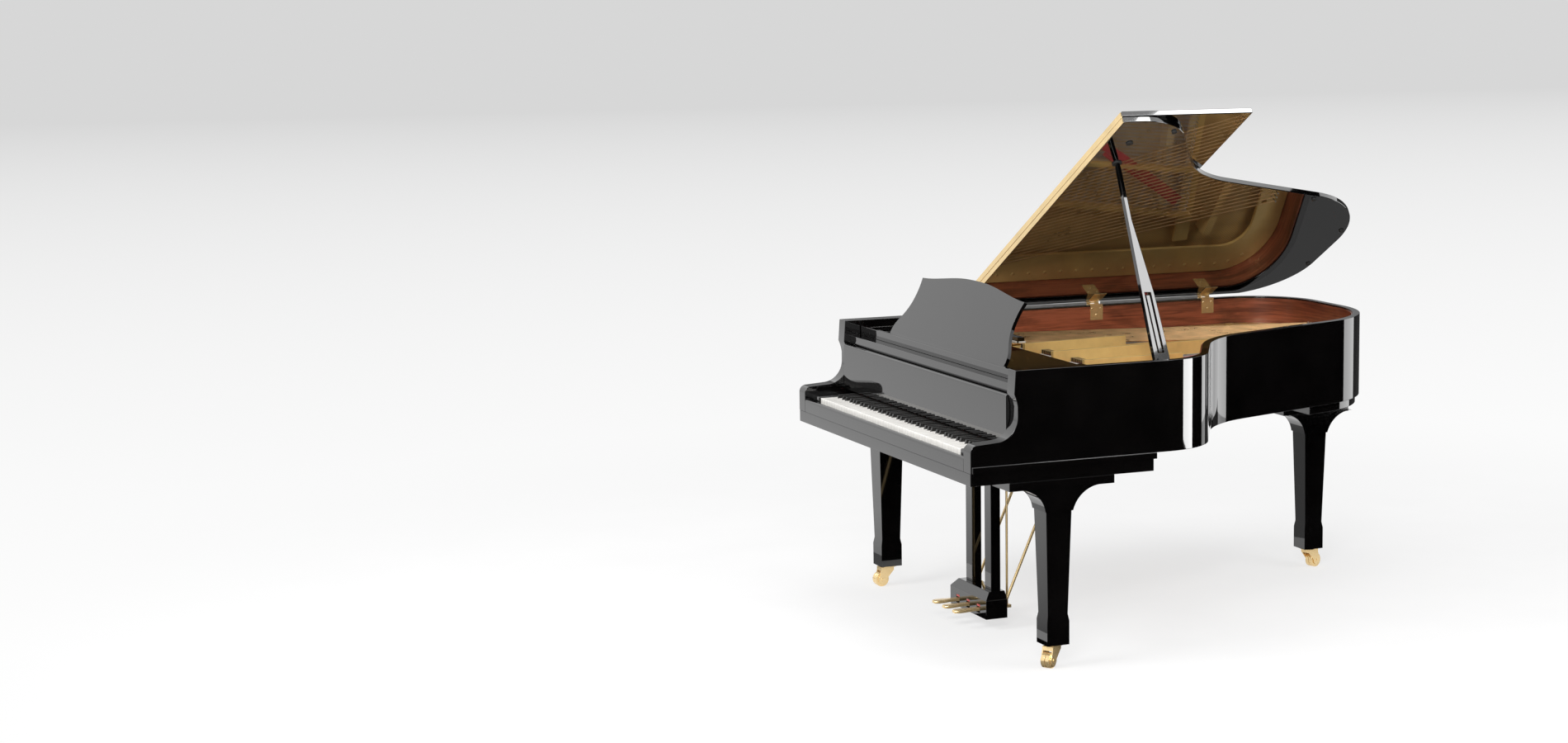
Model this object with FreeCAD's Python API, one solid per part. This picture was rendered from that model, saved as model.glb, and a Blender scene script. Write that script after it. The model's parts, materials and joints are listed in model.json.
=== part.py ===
import FreeCAD, Part
import math
import os

# A grand piano with its lid open on the long prop, as separate pieces.
# Sizes are in millimetres, +Z is up, X runs from the bass side to the treble side.
# Y is measured here from the front of the arms; save() moves it to the middle of the length.

V = FreeCAD.Vector

# Case
half_width = 745.0
tail_y = 1992.0
lid_overhang = 8.0
rim_wall = 26.0
rim_top = 978.0
rim_bottom = 680.0
arm_thick = 55.0
arm_bottom = 660.0
arm_back = 420.0
upper_front = 158.0
moulding_proud = 3.0
moulding_back = 660.0
middle_y = (tail_y + lid_overhang) / 2.0

# Bends of the case seen from above: corner x, y and radius, from the treble front round to the bass front
bend_corners = [
    (half_width, 845.0, 240.0),
    (half_width - 434.0, 1099.0, 450.0),
    (half_width - 735.0, tail_y, 420.0),
    (-half_width, tail_y, 260.0),
]

# Inside of the case
lining_back_wall = 70.0
lining_face = 31.0
lining_bottom = 690.0
lining_top = 972.0
board_bottom = 830.0
board_top = 838.0
rib_pitch = 140.0
belly_front = 640.0
belly_back = 690.0
plate_inset = 34.0
plate_bottom = 866.0
plate_top = 878.0
plate_front = 330.0
hitch_inset = 100.0
opening_inset = 150.0
strut_top = 902.0
tall_strut_rise = 33.0
tall_strut_top = strut_top + tall_strut_rise
string_z = 890.0
string_r = 1.0
bass_z = 908.0
bass_r = 2.2
undamped_count = 14
damper_y = 680.0
damper_width = 9.0
damper_length = 28.0
damper_height = 20.0

# Keyboard; the keys share the width between the two key blocks
bed_bottom = 620.0
bed_back = 650.0
block_width = 74.5
side_play = 4.5
natural_count = 52
natural_pitch = 2.0 * (half_width - arm_thick - block_width - side_play) / natural_count
key_gap = 1.0
key_top = 718.0
key_thick = 24.0
key_front = 30.0
key_back = 436.0
head_depth = 52.0
sharp_top = 730.0
sharp_width = 10.6
sharp_length = 95.0
balance_y = 250.0
rest_gap = 0.25
slip_top = 706.0
slip_depth = 22.0
block_top = 722.0

# Fallboard, crosspiece and music desk
fall_front = 150.0
fall_thick = 18.0
fall_bottom = 735.0
fall_top = 895.0
fall_axis = (152.0, 745.0)
apron_bottom = 736.0
apron_thick = 14.0
shelf_front = 216.0
shelf_back = 520.0
shelf_bottom = 925.0
shelf_top = 940.0
shelf_play = 6.0
shelf_half = half_width - arm_thick - shelf_play
runner_width = 90.0
step_width = 50.0
desk_axis = (244.0, 947.0)
desk_lean = 27.6
desk_thick = 12.0
stay_reach = 110.0
stay_length = 134.0

# Lid
lid_angle = 30.0
lid_thick = 19.0
lid_gap = 6.0
fold_y = 638.0
fold_gap = 2.0
hinge_x = -(half_width + 4.0)
hinge_z = rim_top + lid_gap
hinge_ys = (tail_y - 817.0, tail_y - 344.0)
hinge_width = 52.0
barrel_r = 3.2
hinge_pin_r = 1.2
hinge_leaf = 2.0
hinge_drop = 56.0
lid_leaf_thick = 1.6

# Prop
prop_foot = (half_width - 69.0, 716.0, 952.0)
prop_touch = (half_width - 297.0, 748.0)
prop_thick = 20.0
prop_base_width = 54.0
prop_blade = (252.0, 44.0)
prop_neck = (525.0, 14.0)
prop_tip_width = 12.0
prop_slot_width = 23.0
short_prop_width = 12.0
cup_depth = 4.0

# Legs, casters and lyre
leg_top_size = 98.0
leg_edge_inset = 6.0
front_leg_inset = leg_top_size / 2.0 + leg_edge_inset
front_leg_y = 312.0
tail_leg_x = -half_width + 470.0
tail_leg_back = 150.0
leg_places = (
    (half_width - front_leg_inset, front_leg_y),
    (-half_width + front_leg_inset, front_leg_y),
    (tail_leg_x, tail_y - tail_leg_back),
)
flare_front = 82.0
flare_back = 108.0
plate_border = 3.0
plate_under = 592.0
tail_board = 650.0
leg_top = 515.0
leg_ankle = 176.0
foot_bevel = 22.0
leg_foot = 76.0
leg_collar = 4.0
leg_ankle_size = 71.0
leg_foot_size = 79.0
wheel_r = 26.0
wheel_width = 15.0
caster_trail = 28.0
caster_headings = (-1.0, -1.0, 1.0)
caster_turns = (33.0, 0.0, 19.0)
fork_thick = 4.2
fork_clear = 5.0
fork_eye_r = 17.0
stem_r = 7.0
axle_r = 5.0
running_gap = 0.05
face_gap = 0.3
post_x = (52.0, 103.0)
post_y = (362.0, 398.0)
pedal_box_half = 150.0
pedal_box_y = (322.0, 402.0)
pedal_box_z = (40.0, 104.0)
pedal_box_top = 130.0
pedal_box_slope = 22.0
pedal_pitch = 85.0
pedal_axis = (388.0, 66.0)
pedal_tip_y = 230.0
rod_y = 430.0
rod_r = 4.0


def box(x0, x1, y0, y1, z0, z1):
    return Part.makeBox(x1 - x0, y1 - y0, z1 - z0, V(x0, y0, z0))


def rod(start, end, radius):
    a = V(*start)
    b = V(*end)
    return Part.makeCylinder(radius, a.distanceToPoint(b), a, b.sub(a))


def ring_rod(start, end, outer, inner):
    return rod(start, end, outer).cut(rod(start, end, inner))


def mirrored(shape):
    return shape.mirror(V(0, 0, 0), V(1, 0, 0))


def both_sides(shape):
    return [shape, mirrored(shape)]


def joined(shapes):
    return shapes[0].multiFuse(shapes[1:]).removeSplitter()


def polygon_face(points):
    return Part.Face(Part.makePolygon(points + [points[0]]))


def side_prism(points, x0, x1):
    # a profile of (y, z) points drawn out along X
    face = polygon_face([V(x0, y, z) for y, z in points])
    return face.extrude(V(x1 - x0, 0, 0))


def flat_prism(points, z0, z1):
    # an outline of (x, y) points drawn out along Z
    face = polygon_face([V(x, y, z0) for x, y in points])
    return face.extrude(V(0, 0, z1 - z0))


def bar(start, end, width, z0, z1):
    # a straight bar of even width between two (x, y) points
    dx = end[0] - start[0]
    dy = end[1] - start[1]
    length = math.hypot(dx, dy)
    nx = -dy / length * width / 2.0
    ny = dx / length * width / 2.0
    points = [
        (start[0] + nx, start[1] + ny),
        (start[0] - nx, start[1] - ny),
        (end[0] - nx, end[1] - ny),
        (end[0] + nx, end[1] + ny),
    ]
    return flat_prism(points, z0, z1)


def edge_softened(shape, radius, keep):
    edges = [edge for edge in shape.Edges if keep(edge)]
    return shape.makeFillet(radius, edges)


def shifted_corners(inset, front):
    # corners of the case outline moved inward by inset, with their radii
    base = [(half_width, front)]
    base += [(x, y) for x, y, radius in bend_corners]
    base += [(-half_width, front)]
    lines = []
    for start, end in zip(base[:-1], base[1:]):
        length = math.hypot(end[0] - start[0], end[1] - start[1])
        ux = (end[0] - start[0]) / length
        uy = (end[1] - start[1]) / length
        lines.append((start[0] - uy * inset, start[1] + ux * inset, ux, uy))
    corners = []
    for first, second, corner in zip(lines[:-1], lines[1:], bend_corners):
        turn = first[2] * second[3] - first[3] * second[2]
        reach = (second[0] - first[0]) * second[3] - (second[1] - first[1]) * second[2]
        along = reach / turn
        radius = corner[2] - inset if turn > 0 else corner[2] + inset
        corners.append((first[0] + along * first[2], first[1] + along * first[3], radius))
    return corners


def case_edges(inset, front):
    corners = shifted_corners(inset, front)
    start = V(half_width - inset, front, 0)
    finish = V(-half_width + inset, front, 0)
    edges = []
    here = start
    for index, (x, y, radius) in enumerate(corners):
        corner = V(x, y, 0)
        before = start if index == 0 else V(corners[index - 1][0], corners[index - 1][1], 0)
        last = index == len(corners) - 1
        after = finish if last else V(corners[index + 1][0], corners[index + 1][1], 0)
        into = before.sub(corner).normalize()
        out = after.sub(corner).normalize()
        half_angle = into.getAngle(out) / 2.0
        tangent = radius / math.tan(half_angle)
        arc_start = corner.add(V(into).multiply(tangent))
        arc_end = corner.add(V(out).multiply(tangent))
        middle_way = into.add(out).normalize()
        reach = radius / math.sin(half_angle) - radius
        arc_middle = corner.add(middle_way.multiply(reach))
        edges.append(Part.makeLine(here, arc_start))
        edges.append(Part.Arc(arc_start, arc_middle, arc_end).toShape())
        here = arc_end
    edges.append(Part.makeLine(here, finish))
    return edges


def case_block(inset, front, z0, z1):
    edges = case_edges(inset, front)
    finish = V(-half_width + inset, front, 0)
    start = V(half_width - inset, front, 0)
    wire = Part.Wire(edges + [Part.makeLine(finish, start)])
    block = Part.Face(wire).extrude(V(0, 0, z1 - z0))
    block.translate(V(0, 0, z0))
    return block


def case_ring(outer, inner, front, z0, z1):
    return case_block(outer, front, z0, z1).cut(case_block(inner, front - 1.0, z0, z1))


def case_points(inset, front, count):
    return Part.Wire(case_edges(inset, front)).discretize(Number=count)


def save(name, shape):
    placed = shape.copy()
    placed.translate(V(0, -middle_y, 0))
    placed.exportStep("parts/" + name + ".step")


def lid_opened(shape):
    turned = shape.copy()
    turned.rotate(V(hinge_x, 0, hinge_z), V(0, -1, 0), lid_angle)
    return turned


def arm_front_cut():
    # everything in front of the curved front edge of the arms
    wide = half_width + 20.0
    bottom = V(-wide, 0, arm_bottom)
    nose = V(-wide, 0, 726.0)
    shoulder = V(-wide, 24.0, 750.0)
    flat_end = V(-wide, 88.0, 754.0)
    throat = V(-wide, 164.0, 830.0)
    throat_top = V(-wide, 164.0, 862.0)
    lip = V(-wide, 152.0, 903.0)
    top = V(-wide, upper_front, rim_top + 10.0)
    away_top = V(-wide, -60.0, rim_top + 10.0)
    away_bottom = V(-wide, -60.0, arm_bottom)
    step = Part.BSplineCurve()
    step.interpolate([throat_top, V(-wide, 159.0, 884.0), lip])
    edges = [
        Part.makeLine(bottom, nose),
        Part.Arc(nose, V(-wide, 7.0, 743.0), shoulder).toShape(),
        Part.makeLine(shoulder, flat_end),
        Part.Arc(flat_end, V(-wide, 143.0, 777.0), throat).toShape(),
        Part.makeLine(throat, throat_top),
        step.toShape(),
        Part.makeLine(lip, top),
        Part.makeLine(top, away_top),
        Part.makeLine(away_top, away_bottom),
        Part.makeLine(away_bottom, bottom),
    ]
    return Part.Face(Part.Wire(edges)).extrude(V(2.0 * wide, 0, 0))


def make_case():
    shell = case_ring(0.0, rim_wall, 0.0, rim_bottom, rim_top)
    arm = box(half_width - arm_thick, half_width, 0, arm_back, arm_bottom, rim_top)
    moulding = box(half_width - rim_wall, half_width + moulding_proud, 6.0, moulding_back,
                   arm_bottom, rim_bottom)
    rim = joined([shell] + both_sides(arm) + both_sides(moulding))
    rim = rim.cut(arm_front_cut())
    save("outer_rim", rim)

    inner = case_ring(rim_wall, lining_back_wall, arm_back, lining_bottom, board_bottom)
    veneer = case_ring(rim_wall, lining_face, arm_back, board_bottom, lining_top)
    save("rim_lining", joined([inner, veneer]))

    bed = box(-half_width + 2.0, half_width - 2.0, 0, bed_back, bed_bottom, arm_bottom)
    bed = edge_softened(bed, 2.0, lambda edge: abs(edge.BoundBox.YMax) < 0.1 and edge.Length > 100.0)
    save("keybed", bed)

    rail = box(-half_width + lining_back_wall, half_width - lining_back_wall, belly_front, belly_back,
               arm_bottom, board_bottom)
    hollow = case_block(lining_back_wall, belly_back, lining_bottom, board_bottom)
    beams = []
    beam_x = half_width - 325.0
    for start_x, end_x in ((beam_x, -beam_x), (0.0, 0.0), (-beam_x, 180.0)):
        beams.append(bar((start_x, belly_back - 10.0), (end_x, tail_y + 8.0), 70.0, 705.0, 785.0))
    web = joined(beams).common(hollow)
    pin_half = half_width - arm_thick
    pinblock = box(-pin_half, pin_half, plate_front, 560.0, board_bottom, plate_bottom)
    save("bracing", Part.makeCompound([joined([rail, web]), pinblock]))

    slab = case_block(lining_face, belly_front, board_bottom, board_top)
    rib_room = case_block(lining_back_wall + 2.0, belly_back + 2.0, 806.0, board_bottom)
    ribs = []
    rib_end = half_width + 55.0
    centre = belly_back + rib_pitch / 2.0
    while centre < tail_y - rib_pitch / 2.0:
        ribs.append(bar((-rib_end, centre + 220.0), (rib_end, centre - 220.0), 24.0, 806.0, board_bottom))
        centre += rib_pitch
    return joined([slab, joined(ribs).common(rib_room)])


def ray_reach(start, angle, outline):
    # distance from a point to the outline along a heading measured from +Y toward -X
    ux = -math.sin(math.radians(angle))
    uy = math.cos(math.radians(angle))
    best = None
    for a, b in zip(outline[:-1], outline[1:]):
        ex = b.x - a.x
        ey = b.y - a.y
        cross = ux * ey - uy * ex
        if abs(cross) < 1e-9:
            continue
        along = ((a.x - start[0]) * ey - (a.y - start[1]) * ex) / cross
        part = ((a.x - start[0]) * uy - (a.y - start[1]) * ux) / cross
        if along > 1.0 and 0.0 <= part <= 1.0 and (best is None or along < best):
            best = along
    return best


def tenor_limit(start, angle):
    # distance to the cross web of the frame that anchors the middle strings
    ux = -math.sin(math.radians(angle))
    uy = math.cos(math.radians(angle))
    return (tail_y - 508.0 - 0.10 * start[0] - start[1]) / (uy + 0.10 * ux)


# Strings lie over their keys, so their places across the case are counted in natural keys from the middle
string_groups = (
    # first place, last place, count, first heading, last heading
    (24.1, 14.9, 17, 0.0, 2.0),
    (13.4, 4.7, 16, 2.0, 4.0),
    (3.15, -5.1, 15, 4.0, 6.0),
    (-6.65, -12.2, 10, 6.0, 8.0),
)
bass_group = (-14.4, -27.2, 24, -17.0, -12.0)
strut_starts = (
    # place, heading, length of the tall part, which ends before the bass strings pass over
    (14.13, 2.0, 2000.0),
    (3.91, 4.0, 2000.0),
    (-5.87, 6.0, 380.0),
    (-13.1, 8.0, 0.0),
)


def string_lines():
    outline = case_points(hitch_inset, belly_front, 400)
    plain = []
    for first, last, count, angle0, angle1 in string_groups:
        for index in range(count):
            share = index / (count - 1.0)
            x = (first + (last - first) * share) * natural_pitch
            angle = angle0 + (angle1 - angle0) * share
            reach = min(ray_reach((x, belly_front), angle, outline), tenor_limit((x, belly_front), angle))
            plain.append((x, angle, reach))
    bass = []
    first, last, count, angle0, angle1 = bass_group
    for index in range(count):
        share = index / (count - 1.0)
        x = (first + (last - first) * share) * natural_pitch
        angle = angle0 + (angle1 - angle0) * share
        bass.append((x, angle, ray_reach((x, belly_front), angle, outline)))
    return plain, bass


def along_line(x, angle, distance):
    ux = -math.sin(math.radians(angle))
    uy = math.cos(math.radians(angle))
    return x + ux * distance, belly_front + uy * distance


def make_strung_frame(soundboard):
    plain, bass = string_lines()
    outline = case_points(hitch_inset, belly_front, 400)

    flange = case_block(plate_inset, arm_back + 5.0, plate_bottom, plate_top)
    web_half = half_width - arm_thick - 2.0
    web = box(-web_half, web_half, plate_front, arm_back + 10.0, plate_bottom, plate_top)
    opening = case_block(opening_inset, belly_back + 6.0, plate_bottom - 1.0, plate_top + 1.0)
    gap_half = half_width - arm_thick - 50.0
    strike_gap = box(-gap_half, gap_half, 576.0, 630.0, plate_bottom - 1.0, plate_top + 1.0)
    frame = joined([flange, web]).cut(opening).cut(strike_gap)
    holes = []
    for x, y in ((half_width - 105.0, 712.0), (half_width - 160.0, 748.0)):
        holes.append(rod((x, y, plate_bottom - 1.0), (x, y, plate_top + 1.0), 24.0))
    for point in case_points(126.0, belly_front, 46)[9:26]:
        holes.append(rod((point.x, point.y, plate_bottom - 1.0), (point.x, point.y, plate_top + 1.0), 11.0))
    for hole in holes:
        frame = frame.cut(hole)
    skirt = case_ring(plate_inset, plate_inset + 18.0, belly_front + 2.0, board_top, plate_bottom)
    struts = []
    wide_struts = []
    for place, angle, tall_reach in strut_starts:
        x = place * natural_pitch
        reach = min(ray_reach((x, belly_front), angle, outline) - 10.0,
                    tenor_limit((x, belly_front), angle) + 20.0)
        start = along_line(x, angle, -40.0)
        end = along_line(x, angle, reach)
        struts.append(bar(start, end, 16.0, plate_bottom, strut_top))
        wide_struts.append(bar(start, end, 24.0, plate_bottom - 6.0, strut_top))
        if tall_reach > 0.0:
            tall_end = along_line(x, angle, min(reach, tall_reach))
            struts.append(bar(start, tall_end, 16.0, plate_bottom, tall_strut_top))
    web_start = (-half_width + 185.0, tail_y - 446.0)
    cross_web = bar(web_start, (230.0, tail_y - 525.0), 60.0, plate_bottom, plate_top)
    inside = case_block(plate_inset + 2.0, belly_front, plate_bottom, plate_top)
    rest_y0 = belly_front - 8.0
    rest_y1 = belly_front + 4.0
    plain_rest = box(-13.3 * natural_pitch, 25.5 * natural_pitch, rest_y0, rest_y1,
                     plate_top - 2.0, string_z - string_r)
    bass_rest = box(-28.4 * natural_pitch, -13.8 * natural_pitch, rest_y0, rest_y1,
                    plate_top - 2.0, bass_z - bass_r)
    pieces = [frame, skirt, cross_web.common(inside), plain_rest, bass_rest] + struts
    save("iron_frame", joined(pieces))

    long_bridge = case_ring(196.0, 226.0, belly_back + 6.0, board_top, string_z - string_r)
    zone_x = half_width - 45.0
    zone_y = belly_back + 40.0
    zone = [(zone_x, zone_y), (zone_x, tail_y - 492.0), (60.0, tail_y - 572.0), (60.0, 1000.0),
            (420.0, zone_y)]
    reach_zone = flat_prism(zone, board_top, string_z)
    tenor_bridge = bar((-half_width + 345.0, tail_y - 576.0), (half_width - 700.0, tail_y - 638.0), 30.0,
                       board_top, string_z - string_r)
    bridge = joined([long_bridge.common(reach_zone), tenor_bridge])
    for strut in wide_struts:
        bridge = bridge.cut(strut)
    bass_bridge = bar((-half_width + 225.0, tail_y - 358.0), (half_width - 845.0, tail_y - 298.0), 32.0,
                      board_top, bass_z - bass_r)
    board = joined([soundboard, bridge, bass_bridge])
    save("soundboard", board)

    wires = []
    pins = []
    for index, (x, angle, reach) in enumerate(plain):
        pin_x, pin_y = along_line(x, angle, -95.0 - 38.0 * (index % 3))
        far_x, far_y = along_line(x, angle, reach - 4.0)
        hook_x, hook_y = along_line(x, angle, reach)
        near_x, near_y = along_line(x, angle, -91.0 - 38.0 * (index % 3))
        wires.append(rod((near_x, near_y, string_z), (far_x, far_y, string_z), string_r))
        pins.append(rod((pin_x, pin_y, plate_top), (pin_x, pin_y, plate_top + 24.0), 3.2))
        pins.append(rod((hook_x, hook_y, plate_top), (hook_x, hook_y, string_z + 4.0), 2.5))
    save("plain_strings", Part.makeCompound(wires))

    wound = []
    for index, (x, angle, reach) in enumerate(bass):
        pin_x, pin_y = along_line(x, angle, -95.0 - 38.0 * (index % 3))
        far_x, far_y = along_line(x, angle, reach - 5.5)
        hook_x, hook_y = along_line(x, angle, reach)
        near_x, near_y = along_line(x, angle, -90.0 - 38.0 * (index % 3))
        wound.append(rod((near_x, near_y, bass_z), (far_x, far_y, bass_z), bass_r))
        pins.append(rod((pin_x, pin_y, plate_top), (pin_x, pin_y, bass_z + 8.0), 3.2))
        pins.append(rod((hook_x, hook_y, plate_top), (hook_x, hook_y, bass_z + 5.0), 2.8))
    save("wound_strings", Part.makeCompound(wound))
    save("tuning_pins", Part.makeCompound(pins))

    heads = []
    damped = [(x, angle, string_z + string_r) for x, angle, reach in plain[undamped_count:]]
    damped += [(x, angle, bass_z + bass_r) for x, angle, reach in bass]
    for x, angle, z in damped:
        x, y = along_line(x, angle, damper_y - belly_front)
        heads.append(box(x - damper_width / 2.0, x + damper_width / 2.0, y - damper_length / 2.0,
                         y + damper_length / 2.0, z, z + damper_height))
    save("dampers", Part.makeCompound(heads))


pitch_names = ("c", "c_sharp", "d", "d_sharp", "e", "f", "f_sharp", "g", "g_sharp", "a", "a_sharp", "b")
natural_places = (0, 0, 1, 1, 2, 3, 3, 4, 4, 5, 5, 6)
tail_slots = {"c": (0, 0), "c_sharp": (0, 1), "d": (0, 2), "d_sharp": (0, 3), "e": (0, 4), "f": (3, 0),
              "f_sharp": (3, 1), "g": (3, 2), "g_sharp": (3, 3), "a": (3, 4), "a_sharp": (3, 5), "b": (3, 6)}


def make_key(octave, pitch):
    # octave 0 starts at the C below the lowest A; x is measured from that C
    name = pitch_names[pitch]
    first_x = -natural_pitch * natural_count / 2.0 - 5.0 * natural_pitch
    octave_x = first_x + 7.0 * natural_pitch * octave
    group, slot = tail_slots[name]
    slot_width = 3.0 * natural_pitch / 5.0 if group == 0 else 4.0 * natural_pitch / 7.0
    tail_x0 = octave_x + group * natural_pitch + slot * slot_width
    tail_x1 = tail_x0 + slot_width
    bottom = key_top - key_thick
    if name.endswith("sharp"):
        middle = (tail_x0 + tail_x1) / 2.0
        x0 = middle - sharp_width / 2.0
        x1 = middle + sharp_width / 2.0
        y0 = key_front + head_depth + key_gap
        y1 = y0 + sharp_length
        stick_top = key_top - 2.0
        profile = [(y0, bottom), (y0, key_top - 6.0), (y0 + 6.0, sharp_top), (y1, sharp_top),
                   (y1, stick_top), (key_back, stick_top), (key_back, bottom)]
        return side_prism(profile, x0, x1)
    head_x0 = octave_x + natural_places[pitch] * natural_pitch
    head_x1 = head_x0 + natural_pitch
    if octave == 0 and name == "a":
        tail_x0 = head_x0
    if octave == 8:
        tail_x1 = head_x1
    half_gap = key_gap / 2.0
    outline = [
        (head_x0 + half_gap, key_front),
        (head_x1 - half_gap, key_front),
        (head_x1 - half_gap, key_front + head_depth),
        (tail_x1 - half_gap, key_front + head_depth),
        (tail_x1 - half_gap, key_back),
        (tail_x0 + half_gap, key_back),
        (tail_x0 + half_gap, key_front + head_depth),
        (head_x0 + half_gap, key_front + head_depth),
    ]
    points = []
    for point in outline:
        if not points or math.hypot(point[0] - points[-1][0], point[1] - points[-1][1]) > 1e-6:
            points.append(point)
    return flat_prism(points, bottom, key_top)


def make_keyboard():
    centres = []
    for pitch, name in enumerate(pitch_names):
        keys = []
        for octave in range(9):
            note = 12 * octave + pitch
            if note < 9 or note > 96:
                continue
            key = make_key(octave, pitch)
            keys.append(key)
            centres.append((key.BoundBox.XMin + key.BoundBox.XMax) / 2.0)
        save("keys_" + name, Part.makeCompound(keys))
    centres.sort()

    bottom = key_top - key_thick
    frame_half = natural_pitch * natural_count / 2.0
    base = arm_bottom + 0.2
    front_rail = box(-frame_half, frame_half, 34.0, 74.0, base, 680.0)
    balance_rail = box(-frame_half, frame_half, balance_y - 3.0, balance_y + 3.0, base, bottom - rest_gap)
    balance_foot = box(-frame_half, frame_half, balance_y - 24.0, balance_y + 24.0, base, 684.0)
    back_rail = box(-frame_half, frame_half, 396.0, 430.0, base, bottom - rest_gap)
    tail_rail = box(-frame_half, frame_half, 430.0, 476.0, base, 690.0)
    slats = []
    for share in (-2, -1, 0, 1, 2):
        x = share * (frame_half - 20.0) / 2.0
        slats.append(box(x - 20.0, x + 20.0, 34.0, 440.0, base, 676.0))
    save("keyframe", joined([front_rail, balance_rail, balance_foot, back_rail, tail_rail] + slats))

    action = []
    rail_a = box(-frame_half, frame_half, 446.0, 470.0, 742.0, 760.0)
    rail_b = box(-frame_half, frame_half, 508.0, 534.0, 742.0, 756.0)
    stands = []
    outline = [(446.0, 690.0), (470.0, 690.0), (470.0, 742.0), (534.0, 742.0), (534.0, 756.0), (446.0, 760.0)]
    for share in (-2, -1, 0, 1, 2):
        x = share * (frame_half - 4.0) / 2.0
        stands.append(side_prism(outline, x - 4.0, x + 4.0))
    action.append(joined([rail_a, rail_b] + stands))
    hammer_top = plate_bottom - 4.0
    for x in centres:
        profile = [
            (500.0, 756.0), (515.0, 756.0), (515.0, 776.0), (592.0, 776.0),
            (592.0, 770.0), (614.0, 770.0), (616.0, 826.0), (607.0, hammer_top),
            (599.0, hammer_top), (590.0, 826.0), (590.0, 784.0), (500.0, 784.0),
        ]
        action.append(side_prism(profile, x - 3.6, x + 3.6))
    save("hammer_action", Part.makeCompound(action))

    cheek = half_width - arm_thick
    block = box(cheek - block_width, cheek, 24.0, 300.0, arm_bottom, block_top)
    block = edge_softened(block, 3.0, lambda edge: edge.BoundBox.ZMin > block_top - 0.1)
    save("key_blocks", Part.makeCompound(both_sides(block)))

    lip = 9.0
    slip = box(-cheek, cheek, 0, slip_depth, arm_bottom, slip_top)
    slip = edge_softened(slip, lip, lambda edge: edge.BoundBox.ZMin > slip_top - 0.1 and edge.Length > 100.0)
    save("key_slip", slip)


def make_fall_and_desk():
    cheek = half_width - arm_thick
    board = box(-cheek + 3.0, cheek - 3.0, fall_front, fall_front + fall_thick, fall_bottom, fall_top)
    board = edge_softened(board, 7.0, lambda edge: edge.BoundBox.ZMin > fall_top - 0.1 and edge.Length > 100)
    pin = rod((cheek - 6.0, *fall_axis), (cheek - face_gap, *fall_axis), 3.0)
    save("fallboard", joined([board] + both_sides(pin)))

    stretcher = box(-cheek, cheek, 176.0, 236.0, 800.0, shelf_bottom)
    # hides the back of the keys when the fallboard is closed
    apron = box(-cheek, cheek, 176.0, 176.0 + apron_thick, apron_bottom, 800.0)
    runner = box(cheek - runner_width, cheek, 236.0, arm_back, 905.0, shelf_bottom)
    step = box(cheek - step_width, cheek, arm_back, 560.0, 905.0, shelf_bottom)
    guide = box(shelf_half + 1.0, cheek, 250.0, arm_back, shelf_bottom, 950.0)
    rails = both_sides(joined([runner, guide])) + [step]
    save("crosspiece", joined([stretcher, apron] + rails))

    shelf = box(-shelf_half, shelf_half, shelf_front, shelf_back, shelf_bottom, shelf_top)
    lip = box(-shelf_half, shelf_half, shelf_front, shelf_front + 16.0, shelf_bottom, 957.0)
    tongue = joined([shelf, lip])
    notch_x = shelf_half - step_width
    notch = box(notch_x, shelf_half + 1.0, arm_back - 90.0, shelf_back + 1.0,
                shelf_bottom - 1.0, shelf_top + 1.0)
    for side_notch in both_sides(notch):
        tongue = tongue.cut(side_notch)
    save("music_shelf", tongue)

    half = [(0.0, 259.0), (110.0, 256.0), (220.0, 245.0), (330.0, 232.0), (418.0, 226.0)]
    side = [(418.0, 226.0), (408.0, 180.0), (415.0, 122.0), (443.0, 76.0), (467.0, 47.0), (474.0, 0.0)]
    top_points = [V(-x, 0, z) for x, z in reversed(half[1:])] + [V(x, 0, z) for x, z in half]
    top_curve = Part.BSplineCurve()
    top_curve.interpolate(top_points)
    right_curve = Part.BSplineCurve()
    right_curve.interpolate([V(x, 0, z) for x, z in side])
    left_curve = Part.BSplineCurve()
    left_curve.interpolate([V(-x, 0, z) for x, z in reversed(side)])
    base_line = Part.makeLine(V(474.0, 0, 0), V(-474.0, 0, 0))
    wire = Part.Wire([top_curve.toShape(), right_curve.toShape(), base_line, left_curve.toShape()])
    desk = Part.Face(wire).extrude(V(0, desk_thick, 0))
    knuckle_r = desk_axis[1] - shelf_top - face_gap
    knuckle = rod((-380.0, desk_thick / 2.0, 0.0), (380.0, desk_thick / 2.0, 0.0), knuckle_r)
    desk = joined([desk, knuckle])
    desk.translate(V(0, desk_axis[0] - desk_thick / 2.0, desk_axis[1]))
    desk.rotate(V(0, desk_axis[0], desk_axis[1]), V(-1, 0, 0), desk_lean)
    save("music_desk", desk)

    lean = math.radians(desk_lean)
    back = desk_thick / 2.0 + 5.0
    head_y = desk_axis[0] + stay_reach * math.sin(lean) + back * math.cos(lean)
    head_z = desk_axis[1] + stay_reach * math.cos(lean) - back * math.sin(lean)
    drop = head_z - shelf_top - 5.0
    foot_y = head_y + math.sqrt(stay_length ** 2 - drop ** 2)
    legs = []
    for x in (-120.0, 120.0):
        legs.append(rod((x, head_y, head_z), (x, foot_y, shelf_top + 5.0), 4.0))
    legs.append(rod((-140.0, head_y, head_z), (140.0, head_y, head_z), 4.7))
    legs.append(rod((-140.0, foot_y, shelf_top + 5.0), (140.0, foot_y, shelf_top + 5.0), 4.7))
    save("desk_stay", joined(legs))


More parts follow.
